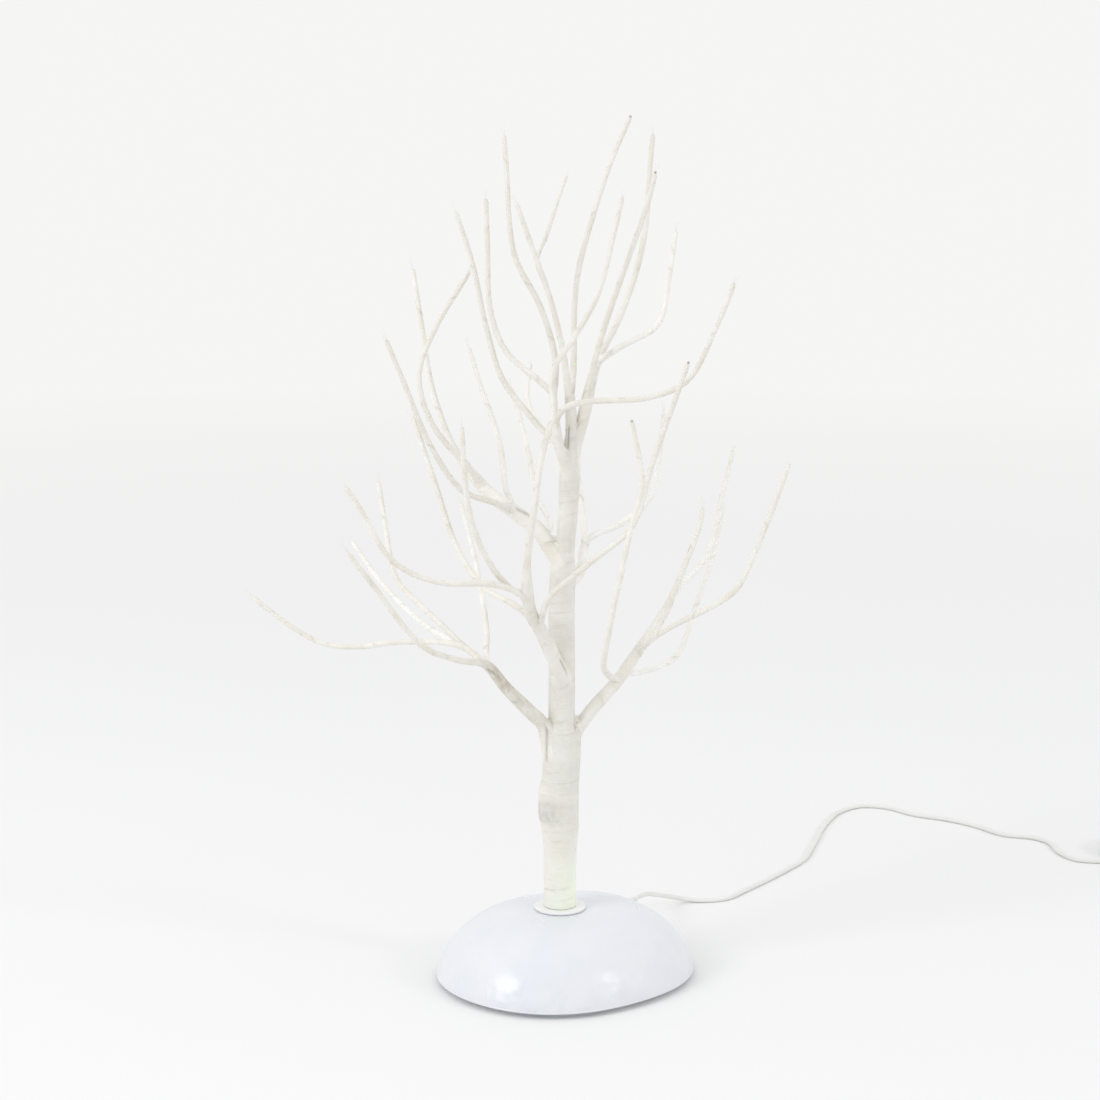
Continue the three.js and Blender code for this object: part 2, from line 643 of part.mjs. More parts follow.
// Twigs of the left leader
bundle("twig_top_left_inner", "leader_left", 0.18, twig,
  [[-1, -3, 13], [-9, -3, 22], [-30, 0, 40], [-40, 1, 65], [-42, 1, 110], [-43, 1, 145]]);
bundle("twig_top_left_outer", "leader_left", 0.1, twig,
  [[-9, 4, 7], [-19, 9, 18], [-36, 16, 40], [-46, 19, 72], [-55, 19, 114], [-68, 19, 154]]);
bundle("twig_top_right_outer", "leader_left", 0.16, twig,
  [[3, -10, 8], [9, -14, 13], [22, -17, 16], [58, -22, 19], [82, -25, 30], [99, -28, 63], [113, -31, 99]]);
bundle("twig_top_back", "leader_left", 0.08, twig, [[-7, 20, 6], [-21, 48, 26], [-19, 59, 53]], { bare: 4 });

// Twigs of the right leader
bundle("twig_top_right_front", "leader_right", 0.22, twig,
  [[2, -7, 13], [7, -11, 36], [21, -16, 79], [36, -18, 122], [43, -20, 151]]);
bundle("twig_top_right_low", "leader_right", 0.32, twig,
  [[6, -4, 5], [16, -10, 12], [38, -20, 27], [44, -24, 56], [49, -27, 93]]);

// Twigs of the trunk's own top
bundle("twig_crown_left", "trunk", 0.98, twig,
  [[-2, -3, 12], [-4, -4, 32], [-12, -7, 67], [-25, -10, 105], [-37, -11, 138]]);
bundle("twig_crown_thin", "twig_crown_left", 0.58, [[0, twigRadius.tip], [1, twigRadius.thin]],
  [[-5, 4, 12], [1, 11, 27], [10, 22, 54], [15, 26, 67]]);
bundle("twig_crown_right", "trunk", 0.99, twig,
  [[2, 7, 18], [3, 11, 65], [7, 13, 91], [26, 14, 152], [38, 14, 180]]);

// The trunk's foot is the bare bundle inside the ferrule, ground flat where the light enters
function trunkSolid() {
  return join(windingSolid(trunk), rod(fibreBundle, ferruleBottom, trunkFoot + 1));
}

function ferruleSolid() {
  const bore = fibreBundle + gap;
  return turned(
    [[bore, ferruleBottom], [ferrule.outer - ferrule.chamfer, ferruleBottom],
      [ferrule.outer, ferruleBottom + ferrule.chamfer], [ferrule.outer, trunkFoot - gap],
      [bore, trunkFoot - gap]],
    24,
  );
}

// Each later bundle is let into the ones that came before it, so that it seats on them with the gap
function woundTree(parent) {
  const made = [];
  for (const entry of bundles.values()) {
    let solid = entry === trunk ? trunkSolid() : windingSolid(entry);
    const box = solid.boundingBox();
    for (const earlier of made) {
      if (touching(box, earlier.box)) solid = cut(solid, earlier.grown);
    }
    solid = largest(solid);
    if (entry.bare) solid = largest(join(solid, ...fibreTuft(entry)));
    const grown = windingSolid(entry, gap);
    made.push({ grown, box: grown.boundingBox() });
    place(entry.name, solid, "tape", parent);
  }
}

function touching(a, b) {
  return [0, 1, 2].every((i) => a.min[i] <= b.max[i] && b.min[i] <= a.max[i]);
}

// Lead

// The strain relief: two flanges that hold the wall between them, and a ribbed tail that thins outwards
function cordGrommet() {
  const grip = padOuter - padInner;
  const outside = grip + gap;
  const tailFoot = outside + gland.flangeThickness;
  const pitch = (tail.length - tail.plain) / tail.ribs;
  const profile = [
    [0, -gap - gland.flangeThickness], [gland.flange, -gap - gland.flangeThickness], [gland.flange, -gap],
    [gland.neck, -gap], [gland.neck, outside], [gland.flange, outside], [gland.flange, tailFoot],
  ];
  for (let i = 0; i < tail.ribs; i++) {
    const radius = tail.root + ((tail.end - tail.root) * i) / tail.ribs;
    const foot = tailFoot + pitch * i;
    const shoulder = foot + pitch * tail.grooveShare;
    profile.push([radius - tail.groove, foot], [radius - tail.groove, shoulder]);
    profile.push([radius, shoulder], [radius, foot + pitch]);
  }
  profile.push([tail.end, tailFoot + tail.length], [0, tailFoot + tail.length]);
  return turned(profile, 14, exitMatrix(padInner));
}

const tailReach = padOuter + gap + gland.flangeThickness + tail.length;
const leadStart = alongExit(tailReach + gap);
const innerStart = alongExit(padInner - 2 * gap - gland.flangeThickness);

function cordTube(points, spacing, sides = 8) {
  const curve = wayOf(points);
  const steps = Math.round(curve.getLength() / spacing);
  const stations = framesAlong(curve, Array.from({ length: steps + 1 }, (_, i) => i / steps));
  stations.forEach((station) => {
    station.radius = cord.radius;
  });
  return { solid: tube(stations, sides), length: curve.getLength() };
}

// The free stretch: straight out of the strain relief, down to the table, and over it to the coil
const inAir = [[60, 97, 22], [69, 118, 14.5], [79, 135, 7.5], [90, 143, 3]];
const onTable = [
  [105, 144], [121, 149], [135, 166], [153, 190], [171, 216], [186, 241], [197, 278], [213, 334],
  [228, 366], [246, 381], [266, 377], [286, 357], [311, 343], [330, 326], [348, 303], [369, 295],
  [379, 283], [382, 258], [391, 240], [407, 235], [426, 235], [438, 235],
];
const leadRoute = [
  leadStart,
  leadStart.clone().addScaledVector(exitWay, 2 * cord.radius),
  ...inAir.map(([x, y, z]) => new THREE.Vector3(x, y, z)),
  ...onTable.map(([x, y]) => new THREE.Vector3(x, y, cord.radius)),
];
const leadEnd = leadRoute[leadRoute.length - 1];

// The put-away length: a coil of spiral layers, each one in or out, that climbs where it turns back
const coilStart = new THREE.Vector3(leadEnd.x + gap, leadEnd.y, cord.radius);
const coilCentre = new THREE.Vector3(coilStart.x + 2 * cord.radius + 1, coilStart.y + coil.outer, 0);

function coilRoute() {
  const points = [coilStart.clone()];
  const turns = coil.layers * coil.turnsPerLayer;
  const steps = turns * coil.stepsPerTurn;
  for (let i = 0; i <= steps; i++) {
    const turn = i / coil.stepsPerTurn;
    const layer = Math.min(coil.layers - 1, Math.floor(turn / coil.turnsPerLayer));
    const share = turn / coil.turnsPerLayer - layer;
    const inward = layer % 2 === 0 ? share : 1 - share;
    const radius = coil.outer + (coil.inner - coil.outer) * inward;
    const angle = 2 * Math.PI * turn - Math.PI / 2;
    let climbed = 0;
    for (let step = 1; step < coil.layers; step++) {
      const sinceTurn = turn - step * coil.turnsPerLayer;
      climbed += THREE.MathUtils.smoothstep(sinceTurn, -coil.climb, coil.climb);
    }
    points.push(
      new THREE.Vector3(
        coilCentre.x + radius * Math.cos(angle),
        coilCentre.y + radius * Math.sin(angle),
        cord.radius + coil.rise * climbed,
      ),
    );
  }
  const top = points[points.length - 1];
  points.push(new THREE.Vector3(coilCentre.x + adapter.lead, top.y, top.z));
  return points;
}

function coilTube(points) {
  const stations = points.map((point, i) => {
    const before = points[Math.max(0, i - 1)];
    const after = points[Math.min(points.length - 1, i + 1)];
    const tangent = after.clone().sub(before).normalize();
    const side = new THREE.Vector3(0, 0, 1).cross(tangent).normalize();
    return { point, tangent, side, normal: side.clone().cross(tangent), radius: cord.radius };
  });
  return tube(stations, 6);
}

// The least gap between stretches of a cord that lie more than three diameters apart along it
function leastSelfGap(points) {
  let least = Infinity;
  const along = [0];
  points.slice(1).forEach((point, i) => along.push(along[i] + point.distanceTo(points[i])));
  const nearest = new THREE.Vector3();
  for (let i = 0; i < points.length; i++) {
    for (let j = 0; j < points.length - 1; j++) {
      const apart = Math.min(Math.abs(along[i] - along[j]), Math.abs(along[i] - along[j + 1]));
      if (apart < 12 * cord.radius) {
        continue;
      }
      new THREE.Line3(points[j], points[j + 1]).closestPointToPoint(points[i], true, nearest);
      least = Math.min(least, nearest.distanceTo(points[i]));
    }
  }
  return least - 2 * cord.radius;
}

function pathLength(points) {
  return points.slice(1).reduce((sum, point, i) => sum + point.distanceTo(points[i]), 0);
}

// The adapter lies on its side by the coil, with its strain relief at the height of the top turn
function adapterBody(entry) {
  const height = 2 * entry.z;
  const foot = entry.x + gap + adapter.gland;
  const half = adapter.width / 2;
  const outline = new THREE.Shape();
  const c = adapter.corner;
  outline.moveTo(c, -half);
  outline.lineTo(adapter.length - c, -half);
  outline.absarc(adapter.length - c, -half + c, c, -Math.PI / 2, 0, false);
  outline.absarc(adapter.length - c, half - c, c, 0, Math.PI / 2, false);
  outline.absarc(c, half - c, c, Math.PI / 2, Math.PI, false);
  outline.absarc(c, -half + c, c, Math.PI, 1.5 * Math.PI, false);
  const box = slab(outline, 0, height, at(foot, entry.y, 0));
  const along = new THREE.Matrix4().makeRotationY(Math.PI / 2);
  const relief = turned(
    [[0, 0], [tail.end, 0], [tail.end, tail.plain], [adapter.glandRadius, adapter.gland],
      [adapter.glandRadius, adapter.gland + 1], [0, adapter.gland + 1]],
    12,
    at(entry.x + gap, entry.y, entry.z).multiply(along),
  );
  return join(box, relief);
}

function adapterBlade(entry, side) {
  const face = entry.y + adapter.width / 2 + gap;
  const x = entry.x + gap + adapter.gland + adapter.length * adapter.bladeShare;
  const z = entry.z + (side * blade.spacing) / 2;
  const outline = new THREE.Shape();
  const half = blade.width / 2;
  outline.moveTo(-half, 0);
  outline.lineTo(half, 0);
  outline.lineTo(half, blade.length - blade.taper);
  outline.lineTo(half - blade.nose, blade.length);
  outline.lineTo(-half + blade.nose, blade.length);
  outline.lineTo(-half, blade.length - blade.taper);
  return slab(outline, z - blade.thickness / 2, z + blade.thickness / 2, at(x, face, 0));
}

// The lead inside the base, from the strain relief to the circuit board
const boardTop = deck + board.stand + board.thickness;
const [boardX, boardY] = board.place;
const plugX = boardX + socketBlock.x;
const plugY = boardY + socketBlock.y + socketBlock.width / 2 + gap;
const plugZ = boardTop + socketBlock.height / 2;
const innerRoute = [
  innerStart,
  innerStart.clone().addScaledVector(exitWay, -4),
  new THREE.Vector3(31, 42, 21),
  new THREE.Vector3(31, 36, 14),
  new THREE.Vector3(36, 28, deck + cord.radius + 1.5),
  new THREE.Vector3(44, 14, deck + cord.radius + 2),
  new THREE.Vector3(plugX + 3, plugY + 11, boardTop + cord.radius),
  new THREE.Vector3(plugX, plugY + 4, plugZ),
  new THREE.Vector3(plugX, plugY, plugZ),
];

// Assembly

place("base_shell", baseShell(), "snow");
place("base_plate", basePlate(), "plate");
place("stem_collar", stemCollar(), "white");
bossPlaces.forEach(({ x, y }, i) => place("plate_screw_" + (i + 1), plateScrew(x, y), "metal"));
place("heat_sink", heatSink(), "metal");
place("lamp", lampBody(), "lens");
place("wheel_motor", wheelMotor(), "metal");
place("motor_bracket", motorBracket(), "plate");
place("circuit_board", circuitBoard(), "circuit");
place("cord_grommet", cordGrommet(), "white");
place("inner_lead", cordTube(innerRoute, 4).solid, "lead");

const colourWheel = new THREE.Group();
tree.add(colourWheel);
place("wheel_frame", wheelFrame(), "white", colourWheel);
place("wheel_shaft", wheelShaft(), "metal", colourWheel);
["red", "green", "blue"].forEach((colour, i) => {
  place("filter_" + colour, wheelFilter(i), colour, colourWheel);
});

const stem = new THREE.Group();
tree.add(stem);
place("fibre_ferrule", ferruleSolid(), "brass", stem);
woundTree(stem);

const run = cordTube(leadRoute, 10);
place("cord_run", run.solid, "lead");
const coilPoints = coilRoute();
const coilEnd = coilPoints[coilPoints.length - 1];
place("cord_coil", coilTube(coilPoints), "lead");
place("power_adapter", adapterBody(coilEnd), "white");
place("adapter_blade_1", adapterBlade(coilEnd, -1), "metal");
place("adapter_blade_2", adapterBlade(coilEnd, 1), "metal");

const length = run.length + gap + pathLength(coilPoints);
console.log("lead", run.length.toFixed(0), "mm free and", length.toFixed(0), "mm in all");
console.log("least gap between the coil's turns", leastSelfGap(coilPoints).toFixed(2), "mm");

export default tree;
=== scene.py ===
import math

import bmesh
import bpy
import numpy as np
from mathutils import Matrix, Vector


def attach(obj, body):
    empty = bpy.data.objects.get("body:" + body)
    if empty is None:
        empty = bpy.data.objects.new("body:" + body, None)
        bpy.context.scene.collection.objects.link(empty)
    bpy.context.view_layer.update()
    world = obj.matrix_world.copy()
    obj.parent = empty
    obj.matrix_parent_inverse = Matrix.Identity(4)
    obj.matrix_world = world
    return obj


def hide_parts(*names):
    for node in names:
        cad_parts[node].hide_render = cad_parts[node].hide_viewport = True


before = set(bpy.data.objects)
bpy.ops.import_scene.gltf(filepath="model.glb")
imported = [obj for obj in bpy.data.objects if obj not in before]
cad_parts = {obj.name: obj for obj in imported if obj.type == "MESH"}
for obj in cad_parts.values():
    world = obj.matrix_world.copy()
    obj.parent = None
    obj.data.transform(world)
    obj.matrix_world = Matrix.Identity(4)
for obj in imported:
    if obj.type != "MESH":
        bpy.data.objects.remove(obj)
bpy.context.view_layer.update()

MM = 0.001
scene = bpy.context.scene
TAU = 2 * math.pi


def linked(name, data):
    """A new object of the scene that holds this data."""
    made = bpy.data.objects.new(name, data)
    scene.collection.objects.link(made)
    return made


# Camera: on the photograph's line of sight, a little above the crown

FILM_WIDTH = 36
# In the photograph's pixels
PHOTO_WIDTH, FOCAL_LENGTH = 1100, 2500
CAMERA_PLACE = (-0.0066, -1.576, 0.583)
CAMERA_PITCH = 10.7


def add_camera():
    data = bpy.data.cameras.new("camera")
    data.sensor_width = FILM_WIDTH
    data.lens = FILM_WIDTH * FOCAL_LENGTH / PHOTO_WIDTH
    camera = linked("camera", data)
    camera.location = CAMERA_PLACE
    camera.rotation_euler = (math.radians(90 - CAMERA_PITCH), 0, 0)
    scene.camera = camera


add_camera()


# Ways: smooth lines through points, measured along their length, in millimetres

def smooth_line(points, step=0.5):
    """Points close together on the centripetal spline through these points."""
    p = np.asarray(points, float)
    p = np.vstack([2 * p[0] - p[1], p, 2 * p[-1] - p[-2]])
    line = []
    for i in range(1, len(p) - 2):
        x0, x1, x2, x3 = p[i - 1 : i + 3]
        d0, d1, d2 = (np.sqrt(np.linalg.norm(b - a)) for a, b in ((x0, x1), (x1, x2), (x2, x3)))
        t1 = ((x1 - x0) / d0 - (x2 - x0) / (d0 + d1) + (x2 - x1) / d1) * d1
        t2 = ((x2 - x1) / d1 - (x3 - x1) / (d1 + d2) + (x3 - x2) / d2) * d1
        count = max(4, math.ceil(np.linalg.norm(x2 - x1) / step))
        t = np.linspace(0, 1, count, endpoint=False)[:, None]
        c2 = -3 * x1 + 3 * x2 - 2 * t1 - t2
        c3 = 2 * x1 - 2 * x2 + t1 + t2
        line.append(x1 + t1 * t + c2 * t**2 + c3 * t**3)
    return np.vstack(line + [p[-2:-1]])


class Way:
    """A line with the distance along it, and frames carried along it without twisting."""

    def __init__(self, line):
        self.line = np.asarray(line, float)
        gaps = np.linalg.norm(np.diff(self.line, axis=0), axis=1)
        self.along = np.concatenate([[0], np.cumsum(gaps)])
        self.length = self.along[-1]
        tangents = np.gradient(self.line, self.along, axis=0)
        tangents /= np.linalg.norm(tangents, axis=1)[:, None]
        first = np.array([1.0, 0, 0]) if abs(tangents[0][0]) < 0.8 else np.array([0, 1.0, 0])
        normals = [first]
        for tangent in tangents:
            normal = normals[-1] - tangent * (normals[-1] @ tangent)
            normals.append(normal / np.linalg.norm(normal))
        self.tangents = tangents
        self.normals = np.array(normals[1:])

    def at(self, distance):
        """Place, tangent, normal and side at these distances."""
        d = np.asarray(distance, float)
        found = []
        for table in (self.line, self.tangents, self.normals):
            found.append(np.stack([np.interp(d, self.along, table[:, k]) for k in range(3)], axis=-1))
        place, tangent, normal = found
        tangent /= np.linalg.norm(tangent, axis=-1, keepdims=True)
        normal -= tangent * np.sum(tangent * normal, axis=-1, keepdims=True)
        normal /= np.linalg.norm(normal, axis=-1, keepdims=True)
        return place, tangent, normal, np.cross(tangent, normal)


def waver(x, seed, wavelength):
    """A smooth run of values between about -1 and 1."""
    rng = np.random.default_rng(seed)
    total = 0
    for share, size in ((1.0, 0.6), (0.43, 0.3), (0.19, 0.15)):
        total = total + size * np.sin(TAU * x / (wavelength * share) + rng.uniform(0, TAU))
    return total


# Pieces: meshes in millimetres, with hard edges where faces meet at an angle

def mesh_of(name, vertices, faces, crease=35, attributes=None, close=False):
    mesh = bpy.data.meshes.new(name)
    mesh.from_pydata((np.asarray(vertices, float) * MM).tolist(), [], [list(map(int, f)) for f in faces])
    for key, values in (attributes or {}).items():
        values = np.asarray(values, np.float32)
        kind, field = ("FLOAT", "value") if values.ndim == 1 else ("FLOAT_VECTOR", "vector")
        mesh.attributes.new(key, kind, "POINT").data.foreach_set(field, values.ravel())
    work = bmesh.new()
    work.from_mesh(mesh)
    bmesh.ops.remove_doubles(work, verts=work.verts, dist=2e-7)
    bmesh.ops.dissolve_degenerate(work, dist=1e-7, edges=work.edges)
    if close:
        bmesh.ops.holes_fill(work, edges=[e for e in work.edges if e.is_boundary], sides=0)
    bmesh.ops.recalc_face_normals(work, faces=work.faces)
    work.to_mesh(mesh)
    work.free()
    mesh.shade_smooth()
    mesh.set_sharp_from_angle(angle=math.radians(crease))
    return mesh


def piece(name, mesh, look, body, slot, *stands_for):
    made = linked(name, mesh)
    mesh.materials.append(look)
    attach(made, body)
    if stands_for:
        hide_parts(*stands_for)
    return made


def shaped(name, shape, crease, look, body, slot, *stands_for):
    """A piece from vertices and faces, with edges past this angle hard."""
    return piece(name, mesh_of(name, *shape, crease), look, body, slot, *stands_for)


def rounded(profile, radius, steps=4):
    """A closed outline with each corner that is off the axis rounded by up to this radius."""
    points = [np.array(p, float) for p in profile]
    made = []
    for i, corner in enumerate(points):
        before, after = points[i - 1] - corner, points[(i + 1) % len(points)] - corner
        reach = min(radius, 0.45 * np.linalg.norm(before), 0.45 * np.linalg.norm(after))
        if corner[0] <= 1e-6 or reach < 1e-3:
            made.append(corner)
            continue
        a = corner + before / np.linalg.norm(before) * reach
        b = corner + after / np.linalg.norm(after) * reach
        for t in np.linspace(0, 1, steps + 1):
            made.append((1 - t) ** 2 * a + 2 * t * (1 - t) * corner + t * t * b)
    return made


def lathe(profile, segments=64, matrix=None):
    """Vertices and faces of a closed profile of [radius, height] turned about Z."""
    radii, heights = np.asarray(profile, float).T
    count = len(radii)
    turn = np.arange(segments) / segments * TAU
    across, along = np.outer(np.cos(turn), radii), np.outer(np.sin(turn), radii)
    vertices = np.stack([across, along, np.tile(heights, (segments, 1))], axis=-1).reshape(-1, 3)
    faces = []
    for i in range(segments):
        for k in range(count):
            j, m = (i + 1) % segments, (k + 1) % count
            faces.append([i * count + k, j * count + k, j * count + m, i * count + m])
    if matrix is not None:
        vertices = vertices @ np.array(matrix)[:3, :3].T + np.array(matrix)[:3, 3]
    return vertices, faces


def ringed(vertices, count):
    """Vertices and faces of a closed shape from rings of this many vertices, one after the other."""
    last = len(vertices) - count
    faces = []
    for start in range(0, last, count):
        for k in range(count):
            m = (k + 1) % count
            faces.append([start + k, start + m, start + count + m, start + count + k])
    faces.append(list(range(count))[::-1])
    faces.append([last + k for k in range(count)])
    return vertices, faces


def tube(way, distances, radii, sides):
    """Vertices and faces of a tube along a way, closed at its ends."""
    place, _, normal, side = way.at(distances)
    turn = (np.arange(sides) + 0.5) / sides * TAU
    ring = normal[:, None, :] * np.cos(turn)[None, :, None] + side[:, None, :] * np.sin(turn)[None, :, None]
    vertices = place[:, None, :] + ring * np.asarray(radii, float).reshape(-1, 1, 1)
    return ringed(vertices.reshape(-1, 3), sides)


def outline_loft(outline, levels):
    """A closed shape from an outline function of inset, at (height, inset) levels."""
    rings = [[(x, y, z) for x, y in outline(inset)] for z, inset in levels]
    return ringed(np.array(sum(rings, []), float), len(rings[0]))


def round_rect(length, width, corner, steps=8):
    def outline(inset):
        x, y, c = length / 2 - inset, width / 2 - inset, max(0.3, corner - inset)
        points = []
        for quarter, (sx, sy) in enumerate(((1, 1), (-1, 1), (-1, -1), (1, -1))):
            for t in np.linspace(0, math.pi / 2, steps):
                turn = t + quarter * math.pi / 2
                points.append((sx * (x - c) + c * math.cos(turn), sy * (y - c) + c * math.sin(turn)))
        return points

    return outline


def shifted(shape, x, y, z):
    return shape[0] + np.array([x, y, z]), shape[1]


def gathered(parts):
    """Several lists of vertices and faces as one."""
    vertices, faces, offset = [], [], 0
    for v, f in parts:
        vertices.append(np.asarray(v, float))
        faces += [[i + offset for i in face] for face in f]
        offset += len(v)
    return np.vstack(vertices), faces


def carved(name, shape, *steps):
    """The mesh of a closed shape after others are cut from it or joined on, in their order."""
    made = linked(name, mesh_of(name, *shape))
    for operation, other in steps:
        tool = linked("tool", mesh_of("tool", *other))
        step = made.modifiers.new("step", "BOOLEAN")
        step.operation = operation
        step.solver = "EXACT"
        step.object = tool
        view = bpy.context.evaluated_depsgraph_get()
        mesh = bpy.data.meshes.new_from_object(made.evaluated_get(view))
        made.modifiers.remove(step)
        before = made.data
        made.data = mesh
        bpy.data.meshes.remove(before)
        bpy.data.objects.remove(tool)
    bpy.data.objects.remove(made)
    return mesh


# Materials, each built from nodes

class Nodes:
    """A node tree, with short calls to add and join nodes."""

    def __init__(self, tree):
        self.tree = tree
        tree.nodes.clear()

    def node(self, kind, inputs=(), **settings):
        """A new node with these settings, and its inputs set to values or joined to outputs."""
        made = self.tree.nodes.new(kind)
        for key, value in settings.items():
            setattr(made, key, value)
        for key, value in dict(inputs).items():
            self.put(made.inputs[key], value)
        return made

    def put(self, socket, value):
        if hasattr(value, "is_output"):
            self.tree.links.new(value, socket)
        else:
            socket.default_value = value

    def place(self, kind="Object"):
        return self.node("ShaderNodeTexCoord").outputs[kind]

    def height(self, kind="Object"):
        return self.node("ShaderNodeSeparateXYZ", {0: self.place(kind)}).outputs["Z"]

    def mapped(self, vector, scale, turn=(0, 0, 0)):
        inputs = {"Vector": vector, "Scale": scale, "Rotation": turn}
        return self.node("ShaderNodeMapping", inputs).outputs["Vector"]

    def noise(self, scale, detail=2.0, vector=None, distortion=0.0):
        vector = self.place() if vector is None else vector
        inputs = {"Vector": vector, "Scale": scale, "Detail": detail, "Distortion": distortion}
        return self.node("ShaderNodeTexNoise", inputs).outputs["Fac"]

    def ramp(self, value, low, high):
        """A colour that goes from one to the other as the value goes from 0.3 to 0.7."""
        made = self.node("ShaderNodeValToRGB", {"Fac": value})
        for point, where, colour in zip(made.color_ramp.elements, (0.3, 0.7), (low, high)):
            point.position = where
            point.color = (*colour, 1)
        return made.outputs["Color"]

    def scaled(self, value, low_in, high_in, low, high):
        ends = {"From Min": low_in, "From Max": high_in, "To Min": low, "To Max": high}
        return self.node("ShaderNodeMapRange", {"Value": value, **ends}, clamp=True).outputs["Result"]

    def mix(self, factor, a, b):
        a, b = ((*colour, 1) if isinstance(colour, tuple) else colour for colour in (a, b))
        return self.node("ShaderNodeMix", {0: factor, 6: a, 7: b}, data_type="RGBA").outputs[2]

    def maths(self, operation, a, b):
        return self.node("ShaderNodeMath", {0: a, 1: b}, operation=operation).outputs[0]

    def attribute(self, name, output="Fac"):
        return self.node("ShaderNodeAttribute", attribute_name=name).outputs[output]

    def bump(self, height, strength, distance, after=None):
        inputs = {"Height": height, "Strength": strength, "Distance": distance}
        if after is not None:
            inputs["Normal"] = after
        return self.node("ShaderNodeBump", inputs).outputs["Normal"]

    def looked_at(self):
        """1 for what is seen, also in a gloss or through clear plastic, and 0 for the light that falls."""
        path = self.node("ShaderNodeLightPath").outputs
        either = self.maths("MAXIMUM", path["Is Camera Ray"], path["Is Glossy Ray"])
        return self.maths("MAXIMUM", either, path["Is Transmission Ray"])

    def shader_between(self, factor, a, b):
        return self.node("ShaderNodeMixShader", {0: factor, 1: a.outputs[0], 2: b.outputs[0]}).outputs[0]


class Look(Nodes):
    """A material's nodes and its main shader."""

    def __init__(self, name):
        self.material = bpy.data.materials.new(name)
        self.material.use_nodes = True
        super().__init__(self.material.node_tree)
        self.shader = self.node("ShaderNodeBsdfPrincipled")
        self.out = self.node("ShaderNodeOutputMaterial", {"Surface": self.shader.outputs[0]})

    def set(self, **values):
        for key, value in values.items():
            self.put(self.shader.inputs[key.replace("_", " ")], value)


def snow_look():
    look = Look("snow_plastic")
    cloud = look.noise(26, 4)
    low = look.scaled(look.height(), 0.008, 0.034, 1, 0.15)
    waves = look.maths("MULTIPLY", look.noise(84, 1, distortion=0.3), low)
    normal = look.bump(look.noise(150, 1), 0.35, 0.0005)
    normal = look.bump(waves, 0.8, 0.0027, after=normal)
    normal = look.bump(look.noise(900), 0.1, 0.0001, after=normal)
    look.set(Base_Color=look.ramp(cloud, (0.76, 0.785, 0.833), (0.808, 0.826, 0.86)))
    look.set(Roughness=look.scaled(cloud, 0.3, 0.7, 0.26, 0.38), Normal=normal)
    look.set(Specular_IOR_Level=0.4, Subsurface_Weight=0.12, Subsurface_Scale=0.004)
    look.set(Subsurface_Radius=(0.8, 0.85, 1.0), Coat_Weight=0.16, Coat_Roughness=0.06)
    return look.material


# The fibres' light at the trunk's foot, in metres: its middle, how far it reaches, and how much rise counts

GLOW_PLACE = (0.0105, -0.0065, 0.056)
GLOW_NEAR, GLOW_FAR, GLOW_RISE = 0.004, 0.032, 0.6
GLOW_STRENGTH = 0.17


def foot_glow(look, texture):
    """The light that leaks from the fibres, broken up by the surface."""
    stretch = (1, 1, GLOW_RISE)
    middle = tuple(a * b for a, b in zip(GLOW_PLACE, stretch))
    ends = {0: look.mapped(look.place(), stretch), 1: middle}
    distance = look.node("ShaderNodeVectorMath", ends, operation="DISTANCE").outputs["Value"]
    fall = look.maths("POWER", look.scaled(distance, GLOW_NEAR, GLOW_FAR, 1, 0), 1.8)
    amount = look.maths("MULTIPLY", fall, look.scaled(texture, 0.35, 0.6, 0.5, 1))
    look.set(Emission_Color=(0.62, 1.0, 0.42, 1))
    look.set(Emission_Strength=look.maths("MULTIPLY", amount, GLOW_STRENGTH))


# Colours of the tape: painted shade where strips meet, painted shade deep in folds, painted shade on the low
# left limb, and the grey of the trunk's tape end

SEAM_SHADE = (0.50, 0.45, 0.35)
FOLD_SHADE = (0.16, 0.13, 0.08)
BROWN_SHADE = (0.46, 0.41, 0.31)
GREYED = (0.52, 0.52, 0.50)


def tape_look(name, pale, warm, shade_tone=SEAM_SHADE, wear_and_shade_tone=BROWN_SHADE, crease_shade=0.14, glow=False):
    """Crepe tape: fine creases along the strip with painted shade in them, faint edges, grey rubbed patches
    on the trunk, painted shade on the low left limb, painted shade where strips meet, and painted shade deep
    in folds.
    """
    look = Look(name)
    wrap = look.attribute("wrap", "Vector")
    creases = look.noise(1.0, 3, look.mapped(wrap, (0.22, 2.6, 1)), 0.6)
    crepe = look.noise(1.0, 2, look.mapped(wrap, (1.5, 1.5, 1), (0, 0, 0.7)), 1.2)
    patches = look.noise(55, 3)
    wear_and_shade = look.scaled(look.noise(240, 3), 0.35, 0.6, 0.6, 1.1)
    broken = look.scaled(look.noise(160), 0.42, 0.62, 0.05, 0.42)
    colour = look.mix(look.scaled(patches, 0.35, 0.65, 0, 1), pale, warm)
    # painted shade in the creases
    colour = look.mix(look.scaled(creases, 0.48, 0.72, 0, crease_shade), colour, shade_tone)
    # grey of the trunk's tape, and painted shade on the low left limb
    colour = look.mix(look.maths("MULTIPLY", look.attribute("worn_and_shaded"), wear_and_shade), colour, wear_and_shade_tone)
    # painted shade where strips meet, broken up by noise
    colour = look.mix(look.maths("MULTIPLY", look.attribute("seam"), broken), colour, shade_tone)
    # painted shade deep in crotches and slits
    colour = look.mix(look.maths("MULTIPLY", look.attribute("fold_shade"), 0.85), colour, FOLD_SHADE)
    normal = look.bump(creases, 0.4, 0.00025, after=look.bump(crepe, 0.25, 0.00018))
    look.set(Base_Color=colour, Roughness=look.scaled(patches, 0.3, 0.7, 0.5, 0.66), Normal=normal)
    look.set(Subsurface_Weight=0.12, Subsurface_Scale=0.002, Subsurface_Radius=(1.0, 0.85, 0.6))
    if glow:
        foot_glow(look, creases)
    return look.material


